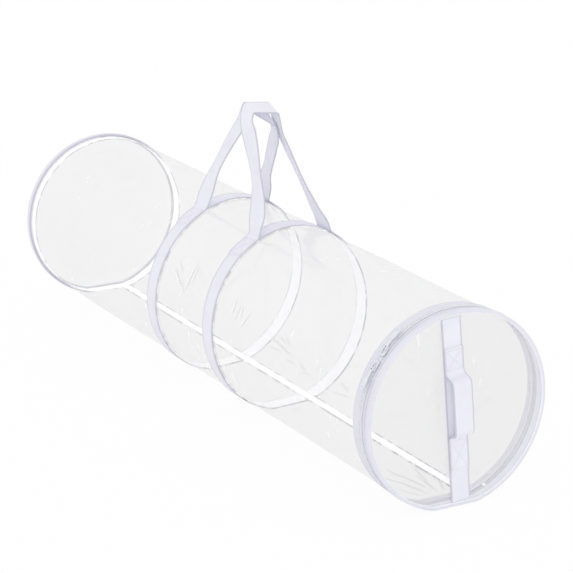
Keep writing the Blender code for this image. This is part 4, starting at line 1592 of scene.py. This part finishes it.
@dataclass
class CarryHandle:
    """One loop of webbing over the tube, sewn to its band at both ends."""

    side: str
    band: BandPlace
    front: HandleLeg
    back: HandleLeg
    high: Point2
    body: Body
    crown_tilts: Point2
    corner: float = 0.0045
    crown_bend: float = 0.0030
    crown_plane: Point2 = (0.83, 1.0)
    foot_turn: Point2 = (0.0, 0.08)
    lower_turn: Point2 = (0.10, 0.45)
    upper_turn: Point2 = (0.45, 0.85)
    untwist: Point2 = (0.875, 1.0)
    joined_at: float = 0.030
    leg_steps: int = 40

    def leg_line(self, leg: HandleLeg) -> list[Vector]:
        """Centre line of a leg, from its foot up to its shoulder."""
        foot = Foot(self.band, leg.foot_deg).pivot
        shoulder = Vector(leg.top)
        skew = math.log(0.5) / math.log(leg.bow_at)
        made = []
        for i in range(self.leg_steps + 1):
            share = i / self.leg_steps
            swell = math.sin(math.pi * share**skew)
            made.append(foot.lerp(shoulder, share) + Vector((leg.bow_x, leg.bow_y, 0.0)) * swell)
        return made

    def rows(self) -> tuple[list[WebbingRow], int, int]:
        """Rows of the whole loop with both sewn ends.

        Returns:
            The rows, the row where the front sewn end passes into the loop, and the same at the back.
        """
        legs = [self.leg_line(leg) for leg in (self.front, self.back)]
        shoulders = [line[-1] for line in legs]
        crown = rounded_route(
            [
                shoulders[0],
                Vector((shoulders[0].x, shoulders[0].y + self.corner, self.high[0])),
                Vector((shoulders[1].x, shoulders[1].y - self.corner, self.high[1])),
                shoulders[1],
            ],
            self.crown_bend,
        )
        loop = legs[0] + crown[1:-1] + legs[1][::-1]
        widths = self.widths(loop, len(legs[0]))
        across = self.band.across
        ends = []
        for leg in (self.front, self.back):
            tail = Foot(self.band, leg.foot_deg).tail_line()
            rise = [tail[-1] + Vector((0.0, 0.0, z)) for z in Foot.risers]
            ends.append([WebbingRow(p, across) for p in tail[:-1] + rise])
        middle = [WebbingRow(p, w) for p, w in zip(loop, widths)]
        made = smooth_rows(ends[0] + middle + ends[1][::-1], 3)
        front_cut = len(ends[0]) + self.above(legs[0])
        back_cut = len(made) - 1 - len(ends[1]) - self.above(legs[1])
        return made, front_cut, back_cut

    def above(self, line: Sequence[Vector]) -> int:
        """First point of a leg that lies above the stretch sewn to the band."""
        return next(i for i, p in enumerate(line) if p.z - line[0].z >= self.joined_at - Foot.lift)

    def widths(self, loop: Sequence[Vector], leg_count: int) -> list[Vector]:
        """Direction across the webbing at every point of the loop.

        Args:
            loop: The loop's centre line.
            leg_count: How many of its points each leg has.

        Returns:
            One unit vector for each point.
        """
        across = self.band.across
        along = Vector((0.0, 0.0, 1.0)).cross(across)
        made = []
        for i in range(len(loop)):
            leg = self.front if i < leg_count else self.back
            passed = smooth(i, leg_count - 1, len(loop) - leg_count)
            tilt = self.crown_tilts[0] + (self.crown_tilts[1] - self.crown_tilts[0]) * passed
            crown_across = (across - Vector((0.0, 0.0, tilt))).normalized()
            ahead = (loop[min(i + 1, len(loop) - 1)] - loop[max(i - 1, 0)]).normalized()
            share = min(i, len(loop) - 1 - i) / leg_count
            upright = (across - ahead * across.dot(ahead)).normalized()
            in_plane = along.cross(ahead).normalized()
            if in_plane.dot(upright) < 0:
                in_plane.negate()
            freed = smooth(share, *leg.plane_shares)
            width = in_plane.lerp(upright, freed)
            width = width.lerp(crown_across, smooth(share, *self.crown_plane)).normalized()
            foot_twist, middle_twist, crown_twist = leg.twists_deg
            twist = foot_twist + (middle_twist - foot_twist) * smooth(share, *self.lower_turn)
            twist += (crown_twist - middle_twist) * smooth(share, *self.upper_turn)
            turned = smooth(share, *self.foot_turn) * (1 - smooth(share, *self.untwist))
            width.rotate(Matrix.Rotation(math.radians(twist) * turned, 3, ahead))
            made.append(width)
        return made

    def build(self, finishes: Finishes) -> None:
        """Builds the loop, its two sewn ends and their stitches.

        Args:
            finishes: The materials.
        """
        rows, front_cut, back_cut = self.rows()
        run = WebbingRun(rows)
        node = "handle_" + self.side
        loop = run.make(node + "_webbing", finishes.webbing, front_cut, back_cut)
        place_piece(loop, self.body, Slot.WEBBING, node)
        for label, first, last, foot_row, cut_row in (
            ("front", 0, front_cut, rows[Foot.tail_steps], rows[front_cut]),
            ("back", back_cut, len(rows) - 1, rows[-1 - Foot.tail_steps], rows[back_cut]),
        ):
            root = run.make(f"{node}_{label}_end", finishes.webbing, first, last)
            rise = cut_row.centre.z - foot_row.centre.z - Foot.lap_clear
            stop = foot_row.centre + Vector((0.0, 0.0, rise))
            bend_piece(root, self.body, Slot.WEBBING, foot_row.centre, stop, f"{node}_tab_{label}")
        seam = Seam(pitch=0.0030, width=0.0005)
        total = run.along[-1]
        low, high = Foot.box_run
        for start, stop in ((low, high), (total - high, total - low)):
            centre, _, face = run.at((start + stop) / 2)
            outward = Vector((0.0, centre.y, centre.z - SECTION.centre_z))
            outside = 1 if face.dot(outward) > 0 else -1
            run.box_stitch(seam, start, stop, Foot.box_inset, outside)
        place_piece(seam.make(node + "_end_stitches", finishes.thread), Body.TUBE, Slot.TRIM)


def far_handle() -> CarryHandle:
    """Carry handle of the far band."""
    front = HandleLeg(
        foot_deg=-20.0, top=(-0.0149, -0.0120, 0.3470), bow_x=-0.0085, bow_y=0.0, bow_at=0.50,
        plane_shares=(0.05, 0.35), twists_deg=(0.0, -20.0, -16.0),
    )
    back = HandleLeg(
        foot_deg=29.5, top=(0.0020, 0.0205, 0.3250), bow_x=0.0010, bow_y=-0.0030, bow_at=0.50,
        plane_shares=(0.05, 0.30), twists_deg=(0.0, 26.0, 20.0),
    )
    return CarryHandle("far", FAR_BAND, front, back, (0.3575, 0.3425), Body.HANDLE_FAR, (0.35, 1.0))


def near_handle() -> CarryHandle:
    """Carry handle of the near band."""
    front = HandleLeg(
        foot_deg=-22.0, top=(-0.0019, -0.0190, 0.3490), bow_x=0.0, bow_y=0.0080, bow_at=0.42,
        plane_shares=(0.05, 0.45), twists_deg=(20.0, -10.0, 8.0),
    )
    back = HandleLeg(
        foot_deg=29.5, top=(0.0061, 0.0205, 0.3345), bow_x=-0.0030, bow_y=0.0, bow_at=0.40,
        plane_shares=(0.0, 0.16), twists_deg=(8.0, 18.0, 14.0),
    )
    return CarryHandle("near", NEAR_BAND, front, back, (0.3605, 0.3588), Body.HANDLE_NEAR, (0.3, 0.5))


def smooth_rows(rows: Sequence[WebbingRow], rounds: int) -> list[WebbingRow]:
    """Evens out a run of webbing a little, with its ends kept.

    Args:
        rows: The run.
        rounds: How often each row moves towards its neighbours.

    Returns:
        The smoothed run.
    """
    made = list(rows)
    for _ in range(rounds):
        nxt = [made[0]]
        for before, row, after in zip(made, made[1:], made[2:]):
            centre = row.centre * 0.5 + (before.centre + after.centre) * 0.25
            width = (row.width * 0.5 + (before.width + after.width) * 0.25).normalized()
            nxt.append(WebbingRow(centre, width))
        nxt.append(made[-1])
        made = nxt
    return made


@dataclass
class Bands:
    """The two webbing bands round the tube."""

    finishes: Finishes
    width: float = 0.025
    thickness: float = 0.0015
    columns: int = 10
    steps: int = 260
    stitch_inset: float = 0.0021

    def build(self) -> None:
        """Builds both bands with a row of stitches along each edge."""
        angles = round_angles(self.steps)
        half = self.width / 2
        for label, place in (("far", FAR_BAND), ("near", NEAR_BAND)):
            middle = place.middle_x
            profile = strip_profile(middle - half, middle + half, 0.0, self.thickness, self.columns)
            band = ring_piece(
                f"band_{label}_webbing", profile, angles, self.finishes.webbing,
                shift=place.shift, lining=self.finishes.lining,
            )
            place_piece(band, Body.TUBE, Slot.WEBBING, "band_" + label)
            seam = Seam(pitch=0.0034)
            for side in (-1, 1):
                ring_seam(seam, middle + side * (half - self.stitch_inset), angles, 0.0, place.shift)
            place_piece(seam.make(f"band_{label}_stitches", self.finishes.thread), Body.TUBE, Slot.TRIM)


@dataclass
class ZipParts:
    """The zip's teeth, sliders and pulls, whose shapes stay as they are."""

    finishes: Finishes

    def build(self) -> None:
        """Gives the hard parts their finishes."""
        finishes = {name: self.finishes.teeth for name in ("zip_teeth_tube", "zip_teeth_cap")}
        for side in ("upper", "lower"):
            for part in ("slider_{}", "slider_{}_inner_plate", "pull_{}"):
                finishes["zip_" + part.format(side)] = self.finishes.lacquer
        for name, material in finishes.items():
            for slot in bpy.data.objects[name].material_slots:
                slot.material = material
            log.info("%s: new finish", name)


# Studio


@dataclass
class Studio:
    """Floor, light and camera."""

    target: tuple[float, float, float] = (0.0051, 0.034, 0.127)
    azimuth_deg: float = 60.56
    elevation_deg: float = 17.57
    distance: float = 2.831
    lens: float = 141.86
    sun_from: tuple[float, float, float] = (0.862, -0.415, 0.291)
    sun_strength: float = 0.28
    sun_spread_deg: float = 9.0
    sky_strength: float = 0.93
    floor_size: float = 40.0
    floor_glow: float = 0.94
    floor_drop: float = 0.0004

    def camera(self) -> None:
        """Places the camera at the photograph's viewing angle."""
        azimuth, elevation = math.radians(self.azimuth_deg), math.radians(self.elevation_deg)
        away = Vector((
            math.sin(azimuth) * math.cos(elevation),
            -math.cos(azimuth) * math.cos(elevation),
            math.sin(elevation),
        ))
        data = bpy.data.cameras.new("Studio camera")
        data.lens = self.lens
        data.sensor_width = 36.0
        data.clip_end = 100.0
        camera = add_object("Studio camera", data)
        camera.location = Vector(self.target) + away * self.distance
        camera.rotation_euler = (-away).to_track_quat("-Z", "Y").to_euler()
        bpy.context.scene.camera = camera

    def floor(self) -> None:
        """Lays a pale floor that glows a little to the camera and keeps the object's shadow."""
        half = self.floor_size / 2
        mesh = bpy.data.meshes.new("Studio floor")
        corners = [(-half, -half, 0), (half, -half, 0), (half, half, 0), (-half, half, 0)]
        mesh.from_pydata(corners, [], [(0, 1, 2, 3)])
        sheet = NodeSheet("Studio floor")
        paint = sheet.add("BsdfDiffuse", Color=(0.97, 0.97, 0.97, 1.0))
        glow = sheet.add("Emission", Color=(1.0, 1.0, 1.0, 1.0), Strength=1.0)
        share = sheet.math("MULTIPLY", sheet.seen_directly(), self.floor_glow)
        mix = sheet.mix_shader(share, paint, glow)
        mesh.materials.append(sheet.finish(mix))
        floor = add_object("Studio floor", mesh)
        floor.location = (0.0, 0.0, -self.floor_drop)

    def light(self) -> None:
        """Sets an even white sky and one soft sun from beside the camera."""
        sheet = NodeSheet("Studio sky", sky=True)
        seen = sheet.seen_directly()
        strength = sheet.add("MapRange", Value=seen, To_Min=self.sky_strength, To_Max=1.0)
        sky = sheet.add("Background", Color=(1.0, 1.0, 1.0, 1.0), Strength=strength.outputs["Result"])
        bpy.context.scene.world = sheet.finish(sky)
        lamp = bpy.data.lights.new("Studio sun", "SUN")
        lamp.energy = self.sun_strength
        lamp.angle = math.radians(self.sun_spread_deg)
        sun = add_object("Studio sun", lamp)
        sun.rotation_euler = Vector(self.sun_from).to_track_quat("Z", "Y").to_euler()

    def build(self) -> None:
        """Builds the studio."""
        self.camera()
        self.floor()
        self.light()
        bpy.context.scene.view_settings.view_transform = "Standard"


def main() -> None:
    """Builds every sub-assembly in order."""
    logging.basicConfig(level=logging.INFO, format="%(name)s: %(message)s")
    finishes = Finishes.make()
    Studio().build()
    far_inner_leg = (-0.4640, -0.4460)
    Binding(-0.4679, 1, 0.010, 0.006, Body.TUBE, "far_rim_binding", far_inner_leg).build(finishes)
    Binding(0.4461, -1, 0.0085, 0.0045, Body.CAP, "cap_rim_binding").build(finishes)
    Bands(finishes).build()
    FilmTube(finishes).build()
    TrimRings(finishes).build()
    HingePanel(finishes).build()
    EndCap(finishes).build()
    far_handle().build(finishes)
    near_handle().build(finishes)
    ZipParts(finishes).build()


if __name__ == "__main__":
    main()
